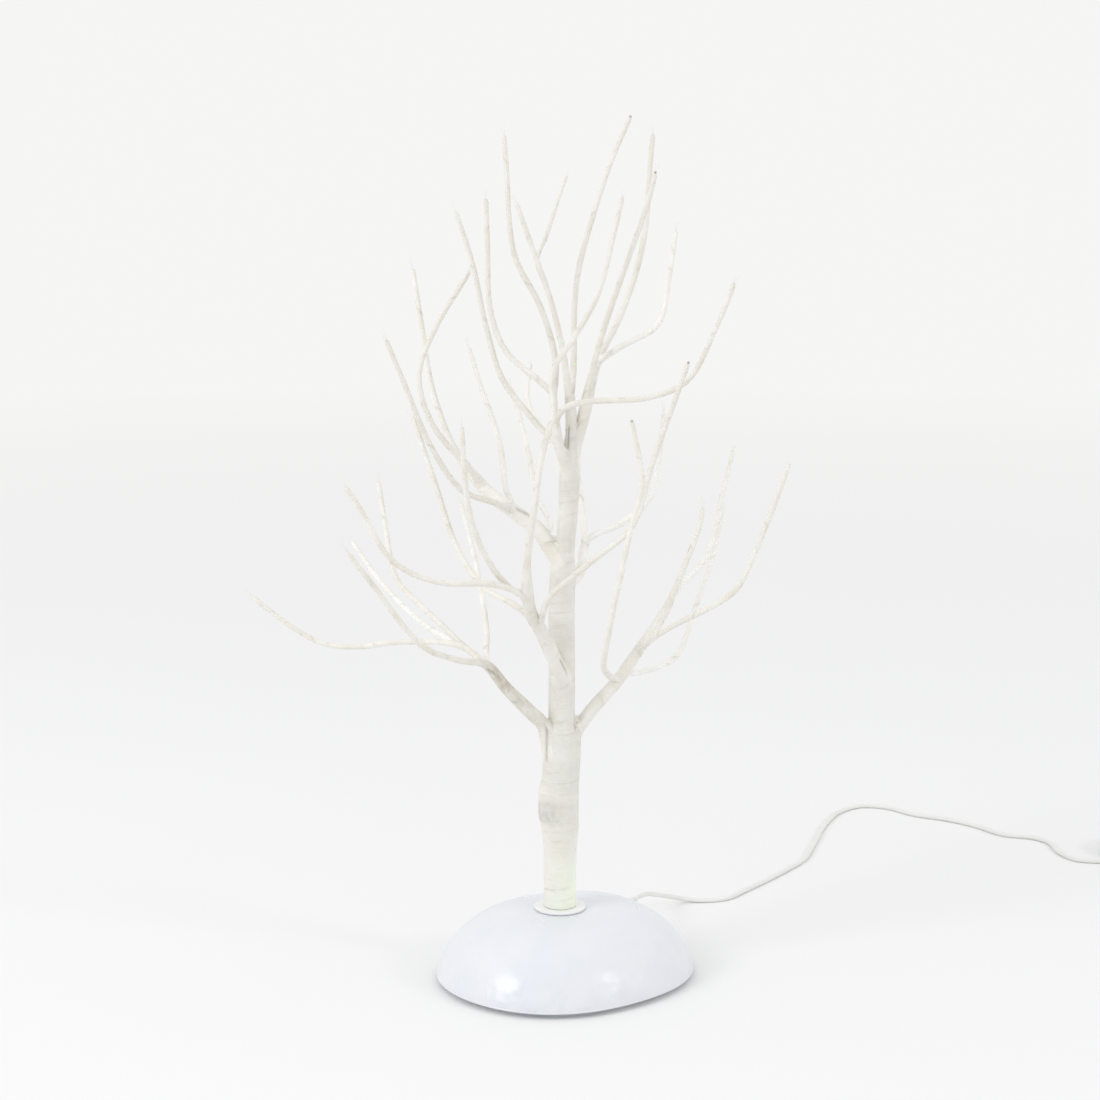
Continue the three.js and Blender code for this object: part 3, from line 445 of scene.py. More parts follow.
def plastic_look(name, low, high, roughness=0.35, grain=500, bump=0.1, coat=0.0):
    look = Look(name)
    cloud = look.noise(30, 3)
    look.set(Base_Color=look.ramp(cloud, low, high), Normal=look.bump(look.noise(grain), bump, 0.0002))
    look.set(Roughness=look.scaled(cloud, 0.3, 0.7, roughness, roughness + 0.08), Coat_Weight=coat)
    return look.material


def metal_look(name, low, high, roughness, stretch=(1, 1, 30)):
    look = Look(name)
    brushed = look.noise(400, 3, look.mapped(look.place(), stretch))
    look.set(Base_Color=look.ramp(brushed, low, high), Metallic=1.0, Normal=look.bump(brushed, 0.08, 0.0001))
    look.set(Roughness=look.scaled(brushed, 0.3, 0.7, roughness, roughness + 0.15))
    return look.material


def clear_look(name, colour, roughness, weight, glow=0.0):
    look = Look(name)
    cloud = look.noise(200)
    look.set(Base_Color=look.ramp(cloud, tuple(0.94 * c for c in colour), colour))
    look.set(Roughness=look.scaled(cloud, 0.3, 0.7, roughness, roughness + 0.1))
    look.set(Transmission_Weight=weight, IOR=1.49, Normal=look.bump(cloud, 0.05, 0.0001))
    if glow:
        look.set(Emission_Color=(0.72, 1.0, 0.62, 1), Emission_Strength=glow)
    return look.material


SNOW = snow_look()
TAPE = tape_look("wound_tape", (0.89, 0.88, 0.84), (0.82, 0.79, 0.72))
PALE_TAPE = tape_look("pale_tape", (0.935, 0.93, 0.905), (0.88, 0.865, 0.81))
WARM_TAPE = tape_look("warm_tape", (0.86, 0.845, 0.80), (0.79, 0.762, 0.695))
# the third colour is the painted shade tone of creases and strip edges
TRUNK_TAPE = tape_look(
    "trunk_tape", (0.855, 0.85, 0.80), (0.82, 0.80, 0.73), (0.53, 0.50, 0.41), GREYED, 0.22, glow=True,
)
FIBRE = clear_look("clear_fibre", (0.86, 0.86, 0.84), 0.35, 0.0)
FIBRE_END = clear_look("lit_fibre_end", (0.60, 0.86, 0.52), 0.3, 0.3, glow=0.3)
SPECK = plastic_look("unlit_fibre_end", (0.36, 0.34, 0.31), (0.46, 0.44, 0.40), 0.3, 900, 0.1)
COLLAR = plastic_look("collar_plastic", (0.86, 0.86, 0.86), (0.88, 0.88, 0.88), 0.28, 350, 0.05, coat=0.2)
WHITE = plastic_look("white_plastic", (0.84, 0.84, 0.82), (0.87, 0.87, 0.85), 0.38, 700, 0.12)
PLATE = plastic_look("plate_plastic", (0.68, 0.70, 0.73), (0.73, 0.75, 0.78), 0.5, 900, 0.3)
LEAD = plastic_look("lead_sleeve", (0.80, 0.80, 0.78), (0.84, 0.84, 0.82), 0.4, 800, 0.06)
STEEL = metal_look("plated_steel", (0.60, 0.61, 0.62), (0.72, 0.73, 0.74), 0.28)
ALUMINIUM = metal_look("aluminium", (0.68, 0.69, 0.70), (0.80, 0.81, 0.82), 0.35, (30, 1, 1))
BRASS = metal_look("brass", (0.62, 0.47, 0.2), (0.75, 0.6, 0.3), 0.25)
CIRCUIT = plastic_look("circuit_lacquer", (0.02, 0.13, 0.05), (0.03, 0.18, 0.075), 0.3, 1200, 0.2)
LENS = clear_look("lens", (0.95, 0.93, 0.80), 0.05, 0.7)
RED = clear_look("red_filter", (0.75, 0.04, 0.05), 0.15, 0.9)
GREEN = clear_look("green_filter", (0.04, 0.55, 0.12), 0.15, 0.9)
BLUE = clear_look("blue_filter", (0.03, 0.12, 0.75), 0.15, 0.9)

# Shared sizes, in millimetres

GAP = 0.3
MOUND_CENTRE = np.array([3.5, -3.2])
MOUND_RADIUS, FLATNESS, ROUNDNESS = 81.4, 4.35, 1.25
LIP, BAND, MOUND_TOP, WALL = 3.5, 1.5, 45.6, 2.0
MOUND_FOOT = LIP + BAND
LUMP = 0.7
# The footprint's departure from a circle: times round, share of the radius, and turn
WAVES = ((2, 0.058, 35), (4, 0.015, 86))
SEAT, SEAT_EDGE = 45.2, 9
COLLAR_RADIUS, COLLAR_THICK, COLLAR_TUBE, SOCKET = 17.0, 1.5, 11.1, 9.3
COLLAR_TOP = SEAT + GAP + COLLAR_THICK
TRUNK_FOOT = COLLAR_TOP + GAP
FERRULE_BOTTOM, TUBE_BOTTOM = 24.7, 27.7
CORD_RADIUS = 1.7


def footprint(angle):
    waves = sum(size * np.cos(n * (angle - math.radians(turn))) for n, size, turn in WAVES)
    return MOUND_RADIUS * (1 + waves)


def mound_height(share, angle):
    fall = np.maximum(0, 1 - share**FLATNESS) ** (1 / ROUNDNESS)
    lumps = np.sin(math.pi * share**2) * (np.cos(5 * angle + 1) + np.cos(3 * angle - 2)) / 2
    return MOUND_FOOT + (MOUND_TOP - MOUND_FOOT) * fall + LUMP * lumps


def wall_reach(angle, height):
    fall = ((height - MOUND_FOOT) / (MOUND_TOP - MOUND_FOOT)) ** ROUNDNESS
    return footprint(angle) * (1 - fall) ** (1 / FLATNESS)


# The lead's way out of the shell, through a pad on its wall

EXIT_ANGLE, EXIT_HEIGHT = math.radians(60), 24.0
EXIT_WAY = np.array([math.cos(EXIT_ANGLE), math.sin(EXIT_ANGLE), 0])
PAD_RADIUS, PAD_BORE = 5.8, 3.5
PAD_OUTER = wall_reach(EXIT_ANGLE, EXIT_HEIGHT) + 4.8
PAD_INNER = wall_reach(EXIT_ANGLE, EXIT_HEIGHT) - 9.6


def along_exit(reach):
    return np.array([*MOUND_CENTRE, EXIT_HEIGHT]) + EXIT_WAY * reach


def exit_matrix(reach):
    turn = Vector((0, 0, 1)).rotation_difference(Vector(EXIT_WAY)).to_matrix().to_4x4()
    return Matrix.Translation(Vector(along_exit(reach))) @ turn


# Cord: out of the strain relief, down to the table, along it, and into its coil

FLANGE_THICK, TAIL = 1.4, 16.0
LEAD_START = along_exit(PAD_OUTER + GAP + FLANGE_THICK + TAIL + GAP)


def lead_line():
    in_air = [(60, 97, 22), (69, 118, 14.5), (79, 135, 7.5), (90, 143, 3)]
    on_table = [
        (105, 144), (121, 149), (135, 166), (153, 190), (171, 216), (186, 241), (197, 278), (213, 334),
        (228, 366), (246, 381), (266, 377), (286, 357), (311, 343), (330, 326), (348, 303), (369, 295),
        (379, 283), (382, 258), (391, 240), (407, 235), (426, 235), (438, 235),
    ]
    points = [LEAD_START, LEAD_START + EXIT_WAY * 2 * CORD_RADIUS, *in_air]
    points += [(x, y, CORD_RADIUS) for x, y in on_table]
    return smooth_line(points, 1.5)


COIL_INNER, COIL_OUTER, COIL_LAYERS, COIL_TURNS, COIL_RISE = 14.6, 23.4, 4, 2.25, 3.9


def coil_line(centre):
    points = []
    steps_per_turn = 72
    for i in range(int(COIL_LAYERS * COIL_TURNS * steps_per_turn) + 1):
        turn = i / steps_per_turn
        layer = min(COIL_LAYERS - 1, math.floor(turn / COIL_TURNS))
        share = turn / COIL_TURNS - layer
        inward = share if layer % 2 == 0 else 1 - share
        radius = COIL_OUTER + (COIL_INNER - COIL_OUTER) * inward
        angle = TAU * turn - math.pi / 2
        climbed = 0
        for step in range(1, COIL_LAYERS):
            x = min(1, max(0, (turn - step * COIL_TURNS + 0.25) / 0.5))
            climbed += x * x * (3 - 2 * x)
        x, y = centre[0] + radius * math.cos(angle), centre[1] + radius * math.sin(angle)
        points.append([x, y, CORD_RADIUS + COIL_RISE * climbed])
    return np.array(points)


RUN = lead_line()
COIL_CENTRE = RUN[-1][:2] + np.array([GAP + 2 * CORD_RADIUS + 1, COIL_OUTER])
COIL = coil_line(COIL_CENTRE)
COIL_END = np.array([COIL_CENTRE[0] + 16, COIL[-1][1], COIL[-1][2]])


# Power adapter: a box with a ribbed relief where the cord goes in, and two blades on its side

RELIEF_LENGTH, ADAPTER_LENGTH, ADAPTER_WIDTH, ADAPTER_CORNER = 12, 48, 34, 4
BLADES_ALONG, BLADE_SPREAD, BLADE_HALF, BLADE_LENGTH = 28.8, 12.7, 3.15, 16
BLADE_HOLE, BLADE_HOLE_REACH = 1.5, 11.5


def build_blade(number, x, y, z):
    def outline(inset):
        half = [(BLADE_HALF, 13.5), (2.7, 15.2), (1.6, BLADE_LENGTH)]
        points = [(-BLADE_HALF, 0), (BLADE_HALF, 0), *half, *((-a, b) for a, b in reversed(half))]
        return [(a * (1 - inset / BLADE_HALF), min(b, BLADE_LENGTH - inset)) for a, b in points]

    blade = outline_loft(outline, [(-0.75, 0.25), (-0.55, 0), (0.55, 0), (0.75, 0.25)])
    hole = lathe([(0, -3), (BLADE_HOLE, -3), (BLADE_HOLE, 3), (0, 3)], 24)
    cut = ("DIFFERENCE", shifted(hole, x, y + BLADE_HOLE_REACH, z))
    mesh = carved(f"blade_{number}", shifted(blade, x, y, z), cut)
    mesh.set_sharp_from_angle(angle=math.radians(30))
    return piece(f"blade_{number}", mesh, STEEL, "base", "steel", f"adapter_blade_{number}")


def build_adapter():
    x, y, z = COIL_END
    face = x + GAP + RELIEF_LENGTH
    middle, top = face + ADAPTER_LENGTH / 2, 2 * z
    edge = [(0, 1.6), (0.25, 0.9), (0.9, 0.25), (1.8, 0.0)]
    seam = [(z - 0.5, 0.0), (z - 0.3, 0.45), (z + 0.3, 0.45), (z + 0.5, 0.0)]
    levels = edge + seam + [(top - rise, inset) for rise, inset in reversed(edge)]
    box = outline_loft(round_rect(ADAPTER_LENGTH, ADAPTER_WIDTH, ADAPTER_CORNER), levels)
    ribs = [(0, 0.3), (2.4, 0.3), (2.4, 2)]
    for i in range(4):
        radius = 2.6 + 1.4 * i / 3
        ribs += [(radius - 0.5, 2.2 + 2.4 * i), (radius - 0.5, 3.0 + 2.4 * i)]
        ribs += [(radius, 3.2 + 2.4 * i), (radius, 4.4 + 2.4 * i)]
    ribs += [(4.0, RELIEF_LENGTH + 1), (0, RELIEF_LENGTH + 1)]
    along = Matrix.Translation(Vector((x + GAP, y, z))) @ Matrix.Rotation(math.pi / 2, 4, "Y")
    body = gathered([shifted(box, middle, y, 0), lathe(rounded(ribs, 0.25, 2), 32, along)])
    panel = outline_loft(round_rect(30, 20, 2), [(0, 0), (0.25, 0), (0.4, 0.15)])
    made = [
        shaped("adapter_body", body, 30, WHITE, "base", "white", "power_adapter"),
        shaped("adapter_panel", shifted(panel, middle - 2, y, top - 0.2), 30, PLATE, "base", "white"),
    ]
    for number, side in ((1, -1), (2, 1)):
        height = z + side * BLADE_SPREAD / 2
        made.append(build_blade(number, face + BLADES_ALONG, y + ADAPTER_WIDTH / 2 + GAP, height))
    return made


def build_tie():
    """A soft wire twisted round the coil's far side."""
    angle, squareness = math.radians(200), 0.45
    out = np.array([math.cos(angle), math.sin(angle), 0])
    up = np.array([0, 0, 1.0])
    side = np.cross(out, up)
    top = COIL[-1][2] + CORD_RADIUS
    middle = np.array([*COIL_CENTRE, 0]) + out * (COIL_INNER + COIL_OUTER) / 2 + up * (top / 2)
    wide, high = (COIL_OUTER - COIL_INNER) / 2 + CORD_RADIUS + 0.5, top / 2 - 0.15
    loop = []
    for t in np.linspace(0.25 * TAU, 1.25 * TAU, 60):
        x, z = (math.copysign(abs(a) ** squareness, a) for a in (math.cos(t), math.sin(t)))
        loop.append(middle + out * (wide * x) + up * (high * z))
    way = Way(loop)
    parts = [tube(way, np.linspace(0, way.length, 120), np.full(120, 0.55), 8)]
    for sign in (-1, 1):
        base = middle + up * (high + 0.2)
        points = [base]
        for aside, rise, forth in ((3, 1.0, 1.0), (8, 0.6, 2.5)):
            points.append(base + side * sign * aside + up * rise + out * forth)
        twist = Way(smooth_line(points, 0.6))
        parts.append(tube(twist, np.linspace(0, twist.length, 16), np.full(16, 0.5), 8))
    return shaped("coil_tie", gathered(parts), 40, WHITE, "base", "white")


def build_lead():
    start = LEAD_START - EXIT_WAY * 1.2
    into_coil = [COIL[0][0] - 2, COIL[0][1], CORD_RADIUS]
    way = Way(np.vstack([[start], RUN[1:], [into_coil], COIL, [COIL_END + np.array([1.0, 0, 0])]]))
    count = int(way.length / 1.4)
    distances = np.linspace(0, way.length, count)
    sleeve = tube(way, distances, np.full(count, CORD_RADIUS), 14)
    made = shaped("lead", sleeve, 50, LEAD, "base", "lead", "cord_run", "cord_coil")
    with_pieces = [*build_adapter(), build_tie()]
    (way.at(distances)[0] * MM).tolist()


build_lead()


# Strain relief: two flanges that hold the wall, and a tail of rings that thins outwards

FLANGE_RADIUS, NECK_RADIUS = 4.6, 3.2
TAIL_RINGS, TAIL_RADIUS, TAIL_END = 6, 3.4, 2.4


def build_grommet():
    outside = PAD_OUTER - PAD_INNER + GAP
    foot = outside + FLANGE_THICK
    profile = [
        (0, -GAP - FLANGE_THICK), (FLANGE_RADIUS, -GAP - FLANGE_THICK), (FLANGE_RADIUS, -GAP),
        (NECK_RADIUS, -GAP), (NECK_RADIUS, outside), (FLANGE_RADIUS, outside), (FLANGE_RADIUS, foot),
    ]
    pitch = (TAIL - 2) / TAIL_RINGS
    for i in range(TAIL_RINGS):
        radius = TAIL_RADIUS - (TAIL_RADIUS - TAIL_END) * i / TAIL_RINGS
        low = foot + pitch * i
        middle = low + pitch * 0.42
        profile += [(radius - 0.6, low), (radius - 0.6, middle), (radius, middle), (radius, low + pitch)]
    profile += [(TAIL_END, foot + TAIL), (0, foot + TAIL)]
    shape = lathe(rounded(profile, 0.22, 3), 40, exit_matrix(PAD_INNER))
    shaped("strain_relief", shape, 30, WHITE, "base", "white", "cord_grommet")


build_grommet()


# Mound shell: the moulded skin with a soft dip as its seat, its cord pad and its rolled lip

# The lip's bead, from the skin down: height over the lip, and how far it stands out
BEAD = ((1.3, 0.0), (1.0, 0.28), (0.55, 0.36), (0.15, 0.2), (0, -0.3))


def mound_skin(inset, bottom, around, rows):
    cx, cy = MOUND_CENTRE
    outer = inset == 0
    angles = np.arange(around) / around * TAU
    levels = []
    for row in range(1, rows + 1):
        share = math.sin(math.pi / 2 * row / rows)
        levels.append((share, mound_height(share, angles) - inset * math.sqrt(1 - (row / rows) ** 4)))
    if outer:
        levels += [(1 + pull / MOUND_RADIUS, np.full(around, LIP + rise)) for rise, pull in BEAD]
    else:
        levels.append((1, np.full(around, bottom)))
    vertices = [(cx, cy, SEAT if outer else mound_height(0.0, 0.0) - inset)]
    for share, height in levels:
        radius = (footprint(angles) - inset) * share
        x, y = cx + radius * np.cos(angles), cy + radius * np.sin(angles)
        if outer:
            beyond = np.clip((np.hypot(x, y) - COLLAR_RADIUS - 1) / SEAT_EDGE, 0, 1)
            height = SEAT + (height - SEAT) * beyond**2 * (3 - 2 * beyond)
        vertices += list(zip(x, y, height))
    faces = [[0, 1 + i, 1 + (i + 1) % around] for i in range(around)]
    for a in range(1, 1 + (len(levels) - 1) * around, around):
        for i in range(around):
            b, j = a + around, (i + 1) % around
            faces.append([a + i, b + i, b + j, a + j])
    last = 1 + (len(levels) - 1) * around
    faces.append([last + i for i in range(around)][::-1])
    return np.array(vertices), faces


def build_mound():
    depth = PAD_OUTER - PAD_INNER
    pad = [(0, 0), (PAD_RADIUS, 0), (PAD_RADIUS, depth - 0.5), (PAD_RADIUS - 0.5, depth), (0, depth)]
    bore = [(0, -1), (PAD_BORE, -1), (PAD_BORE, depth + 1), (0, depth + 1)]
    mouth = [(0, 30), (COLLAR_TUBE + GAP, 30), (COLLAR_TUBE + GAP, SEAT + 8), (0, SEAT + 8)]
    mesh = carved(
        "mound", mound_skin(0, LIP, 160, 48),
        ("DIFFERENCE", mound_skin(WALL, LIP - 1, 80, 20)),
        ("UNION", lathe(pad, 48, exit_matrix(PAD_INNER))),
        ("DIFFERENCE", lathe(bore, 32, exit_matrix(PAD_INNER))),
        ("DIFFERENCE", lathe(mouth)),
    )
    mesh.shade_smooth()
    mesh.set_sharp_from_angle(angle=math.radians(40))
    piece("mound_shell", mesh, SNOW, "base", "snow", "base_shell")


build_mound()


def build_collar():
    under = SEAT + GAP
    profile = [
        (SOCKET, TUBE_BOTTOM), (COLLAR_TUBE, TUBE_BOTTOM), (COLLAR_TUBE, under), (COLLAR_RADIUS, under),
        (COLLAR_RADIUS, COLLAR_TOP), (SOCKET, COLLAR_TOP),
    ]
    shaped("collar", lathe(rounded(profile, 0.5, 5), 128), 40, COLLAR, "base", "white", "stem_collar")


build_collar()


# Bundles of the tree: where each leaves another, its girth at shares of its length, and its way from there

ROOT, TIP, THIN = 2.1, 1.5, 1.1
TWIG = [(0, ROOT), (1, TIP)]


def limb(radius, held, thinning, parted):
    return [(0, radius), (held, radius * 0.96), (thinning, radius * 0.75), (parted, ROOT), (1, TIP)]


BUNDLES = [
    ("trunk", None, 0,
     [(0, 10.4), (0.12, 10.8), (0.16, 12.2), (0.27, 12.2), (0.34, 12.6), (0.355, 12.3), (0.375, 8.6),
      (0.66, 8.4), (0.7, 6.2), (0.8, 6.2), (0.84, 6.8), (0.88, 5.4), (0.93, 3.9), (1, 3.3)],
     [(0, 0, 0), (0, 0, 31), (0, 0, 72), (1, 0, 106), (1, 0, 146), (1, 0, 179), (1, 0, 209), (3, 0, 237),
      (5, 0, 264), (6, 0, 293), (7, 0, 316), (6, 0, 336)]),
    ("limb_low_left", "trunk", 0.27, limb(4.6, 0.2, 0.36, 0.42),
     [(-9, -3, 20), (-11, -6, 32), (-21, -11, 44), (-36, -16, 61), (-47, -22, 76), (-65, -48, 86),
      (-86, -70, 100), (-114, -88, 141), (-133, -98, 170)]),
    ("limb_low_right", "trunk", 0.32, limb(4.4, 0.2, 0.56, 0.66),
     [(10, 3, 11), (21, 6, 25), (36, 11, 41), (46, 17, 54), (67, 24, 84), (79, 22, 113), (91, 21, 150),
      (89, 20, 162)]),
    ("limb_front", "trunk", 0.43, limb(4.9, 0.12, 0.26, 0.32),
     [(0, -10, 13), (-6, -17, 28), (-13, -25, 45), (-20, -35, 61), (-22, -49, 90), (-18, -59, 125),
      (-13, -59, 161), (-6, -45, 188), (-6, -35, 212), (8, -29, 234), (22, -27, 259), (31, -24, 293),
      (38, -21, 323)]),
    ("limb_mid_left", "trunk", 0.68, limb(5.3, 0.14, 0.34, 0.46),
     [(-7, 1, 8), (-16, 3, 21), (-29, 6, 31), (-50, 13, 46), (-71, 25, 72), (-85, 35, 108), (-92, 43, 148),
      (-99, 50, 194)]),
    ("limb_back", "trunk", 0.63, limb(4, 0.1, 0.22, 0.3),
     [(12, 17, 9), (17, 35, 26), (40, 49, 35), (59, 57, 51), (65, 63, 79), (68, 67, 115)]),
    ("leader_left", "trunk", 0.85, limb(3.3, 0.14, 0.18, 0.24),
     [(-6, -6, 18), (-10, -6, 47), (-9, 7, 74), (-18, 13, 106), (-35, 18, 140), (-40, 22, 196),
      (-42, 24, 223)]),
    ("leader_right", "trunk", 0.85, limb(4.2, 0.2, 0.28, 0.36),
     [(3, 3, 16), (9, 3, 38), (17, 4, 71), (32, 10, 101), (46, 15, 144), (51, 20, 196), (53, 21, 224)]),
    ("twig_low_left_inner", "limb_low_left", 0.37, TWIG,
     [(-16, 10, 11), (-33, 20, 25), (-49, 30, 38), (-61, 38, 50), (-69, 50, 87), (-74, 57, 119)]),
    ("twig_low_left_outer", "limb_low_left", 0.38, TWIG,
     [(-12, 5, 9), (-23, 10, 12), (-58, 23, 10), (-84, 27, 6), (-106, 31, 7), (-128, 34, 18),
      (-160, 37, 43)]),
    ("twig_low_left_back", "limb_low_left", 0.37, TWIG,
     [(-14, 30, 4), (-46, 72, 13), (-76, 103, 35), (-98, 122, 62)]),
    ("twig_low_left_upright", "limb_low_left", 0.33, TWIG,
     [(-8, 28, 7), (-8, 44, 20), (-16, 70, 62), (-28, 85, 107)]),
    ("twig_low_right_inner", "limb_low_right", 0.3, TWIG,
     [(-7, -26, 8), (-11, -45, 19), (-10, -57, 33), (-3, -76, 76), (5, -85, 117), (11, -87, 142),
      (4, -90, 184)]),
    ("twig_low_right_middle", "limb_low_right", 0.56, TWIG,
     [(11, 15, 15), (31, 36, 33), (41, 49, 69), (50, 57, 105)]),
    ("twig_low_right_outer", "limb_low_right", 0.42, TWIG,
     [(8, -12, 10), (19, -22, 20), (51, -39, 41), (61, -43, 51), (77, -51, 91), (91, -57, 133)]),
    ("twig_low_right_back", "limb_low_right", 0.32, TWIG,
     [(14, 23, -4), (27, 37, -3), (38, 49, 1), (52, 65, 33), (66, 75, 75), (71, 79, 102)]),
    ("twig_front_left_back", "limb_front", 0.18, TWIG,
     [(-12, 8, 8), (-34, 28, 17), (-51, 47, 39), (-66, 64, 80), (-83, 82, 127)]),
    ("twig_front_left_low", "limb_front", 0.23, TWIG,
     [(-10, -9, 9), (-24, -16, 14), (-55, -30, 18), (-82, -41, 33), (-102, -49, 69), (-112, -54, 85)]),
    ("twig_front_left_high", "limb_front", 0.24, TWIG,
     [(-11, -3, 6), (-26, -13, 28), (-36, -23, 61), (-40, -31, 120)]),
    ("twig_front_right", "limb_front", 0.12, TWIG,
     [(-4, -10, 15), (-2, -20, 28), (2, -26, 37), (27, -27, 59), (53, -23, 81), (64, -20, 116),
      (81, -21, 166), (87, -23, 184)]),
    ("twig_mid_left_front", "limb_mid_left", 0.21, TWIG,
     [(-10, -15, 7), (-31, -30, 18), (-49, -40, 46), (-65, -49, 87), (-79, -54, 123)]),
    ("twig_mid_left_inner", "limb_mid_left", 0.31, TWIG,
     [(-11, -8, 16), (-32, -14, 43), (-40, -17, 75), (-29, -10, 105), (-8, 6, 140), (-7, 9, 146)]),
    ("twig_mid_left_back", "limb_mid_left", 0.2, TWIG,
     [(-3, 17, 5), (-6, 27, 11), (-10, 40, 39), (-23, 51, 76), (-33, 58, 108)]),
    ("twig_mid_left_rear", "limb_mid_left", 0.09, TWIG,
     [(4, 23, 6), (-4, 37, 19), (-12, 51, 55), (-24, 62, 98)]),
    ("twig_back_upright", "limb_back", 0.25, TWIG, [(0, 4, 13), (-4, 13, 46), (-1, 22, 95)]),
    ("twig_top_left_inner", "leader_left", 0.18, TWIG,
     [(-1, -3, 13), (-9, -3, 22), (-30, 0, 40), (-40, 1, 65), (-42, 1, 110), (-43, 1, 145)]),
    ("twig_top_left_outer", "leader_left", 0.1, TWIG,
     [(-9, 4, 7), (-19, 9, 18), (-36, 16, 40), (-46, 19, 72), (-55, 19, 114), (-68, 19, 154)]),
    ("twig_top_right_outer", "leader_left", 0.16, TWIG,
     [(3, -10, 8), (9, -14, 13), (22, -17, 16), (58, -22, 19), (82, -25, 30), (99, -28, 63), (113, -31, 99)]),
    ("twig_top_back", "leader_left", 0.08, TWIG, [(-7, 20, 6), (-21, 48, 26), (-19, 59, 53)]),
    ("twig_top_right_front", "leader_right", 0.22, TWIG,
     [(2, -7, 13), (7, -11, 36), (21, -16, 79), (36, -18, 122), (43, -20, 151)]),
    ("twig_top_right_low", "leader_right", 0.32, TWIG,
     [(6, -4, 5), (16, -10, 12), (38, -20, 27), (44, -24, 56), (49, -27, 93)]),
    ("twig_crown_left", "trunk", 0.98, TWIG,
     [(-2, -3, 12), (-4, -4, 32), (-12, -7, 67), (-25, -10, 105), (-37, -11, 138)]),
    ("twig_crown_thin", "twig_crown_left", 0.58, [(0, TIP), (1, THIN)],
     [(-5, 4, 12), (1, 11, 27), (10, 22, 54), (15, 26, 67)]),
    ("twig_crown_right", "trunk", 0.99, TWIG,
     [(2, 7, 18), (3, 11, 65), (7, 13, 91), (26, 14, 152), (38, 14, 180)]),
]
GIRTHS = {name: girth for name, _, _, girth, _ in BUNDLES}
# How far the fibres reach beyond the tape
BARE = dict.fromkeys(GIRTHS, 9) | {
    "trunk": 0, "twig_top_back": 4, "twig_crown_right": 1.5, "twig_crown_thin": 3,
    "twig_low_left_back": 4, "twig_front_left_low": 5.5, "twig_low_right_middle": 4,
    "twig_low_right_outer": 1.5, "twig_low_right_back": 14, "twig_low_right_inner": 3,
    "twig_front_right": 1.5, "limb_front": 4,
}


def girth_at(girth, share):
    return np.interp(share, [a for a, _ in girth], [r for _, r in girth])


def gap_to(points, line, radii):
    """How far outside a bundle's skin each point lies."""
    return (np.linalg.norm(points[:, None] - line, axis=2) - radii).min(axis=1)


def blended(way, girth, parent, s, place, out, radius, k):
    """Radii that carry a bundle's skin into its parent's in a web, and each vertex's depth where the skins
    meet, which is painted as shade.
    """
    host, host_girth, at = parent
    reach = 5 * girth_at(girth, 0) + 2 * girth_at(host_girth, at / host.length)
    d = np.arange(max(0, at - reach - 8), min(host.length, at + reach + 8), 0.6)
    core, core_radius = host.at(d)[0], girth_at(host_girth, d / host.length)
    root = way.along < reach + 12
    own, own_radius = way.line[root][::2], girth_at(girth, way.along[root][::2] / way.length)
    near = s < reach
    place, out, least = place[near], out[near], radius[near]

    def field(r):
        """How far outside the two skins and the web between them the vertices lie at these radii."""
        points = place + out * r[:, None]
        to_host, to_own = gap_to(points, core, core_radius), gap_to(points, own, own_radius)
        h = np.maximum(k - np.abs(to_host - to_own), 0) / k
        return np.minimum(to_host, to_own) - h * h * k / 4

    most = 1.9 * least + 0.4
    low, high, found = 0.98 * least, most, np.zeros(len(least), bool)
    before = field(low)
    for step in np.linspace(0, 1, 9)[1:]:
        trial = least + (most - least) * step
        value = field(trial)
        hit = ~found & (value >= 0)
        share = np.clip(-before / np.maximum(value - before, 1e-6), 0, 1)
        high = np.where(hit, low + (trial - low) * share, high)
        found |= hit
        low, before = np.where(found, low, trial), np.where(found, before, value)
    high = np.maximum(high, least)
    tips = place + out * high[:, None]
    facing = tips - core[np.argmin(np.linalg.norm(tips[:, None] - core, axis=2), axis=1)]
    facing /= np.linalg.norm(facing, axis=1)[:, None]
    acute = np.clip(0.15 - np.sum(facing * out, axis=1), 0, 1)
    grown, fold_shade = radius.copy(), np.zeros_like(radius)
    grown[near] = high
    # painted shade deep in the crotch where a bundle leaves its parent
    sunk = np.exp(-np.maximum(gap_to(tips, core, core_radius), 0) / 0.45)
    fold_shade[near] = sunk * np.clip(acute * 2.2, 0, 1) * found
    return grown, fold_shade


def slit_depth(points, middle, slit):
    """How deep each point lies in a slit between strips: 1 on its line, which runs over the front. This depth
    sinks the skin and is painted as shade.
    """
    (x0, z0), (x1, z1), half = slit
    across, rise = points[..., 0] - x0, points[..., 2] - z0
    share = np.clip((across * (x1 - x0) + rise * (z1 - z0)) / ((x1 - x0) ** 2 + (z1 - z0) ** 2), 0, 1)
    off = np.hypot(across - share * (x1 - x0), rise - share * (z1 - z0))
    return np.exp(-((off / half) ** 2)) * (points[..., 1] < middle[..., 1] + 1)


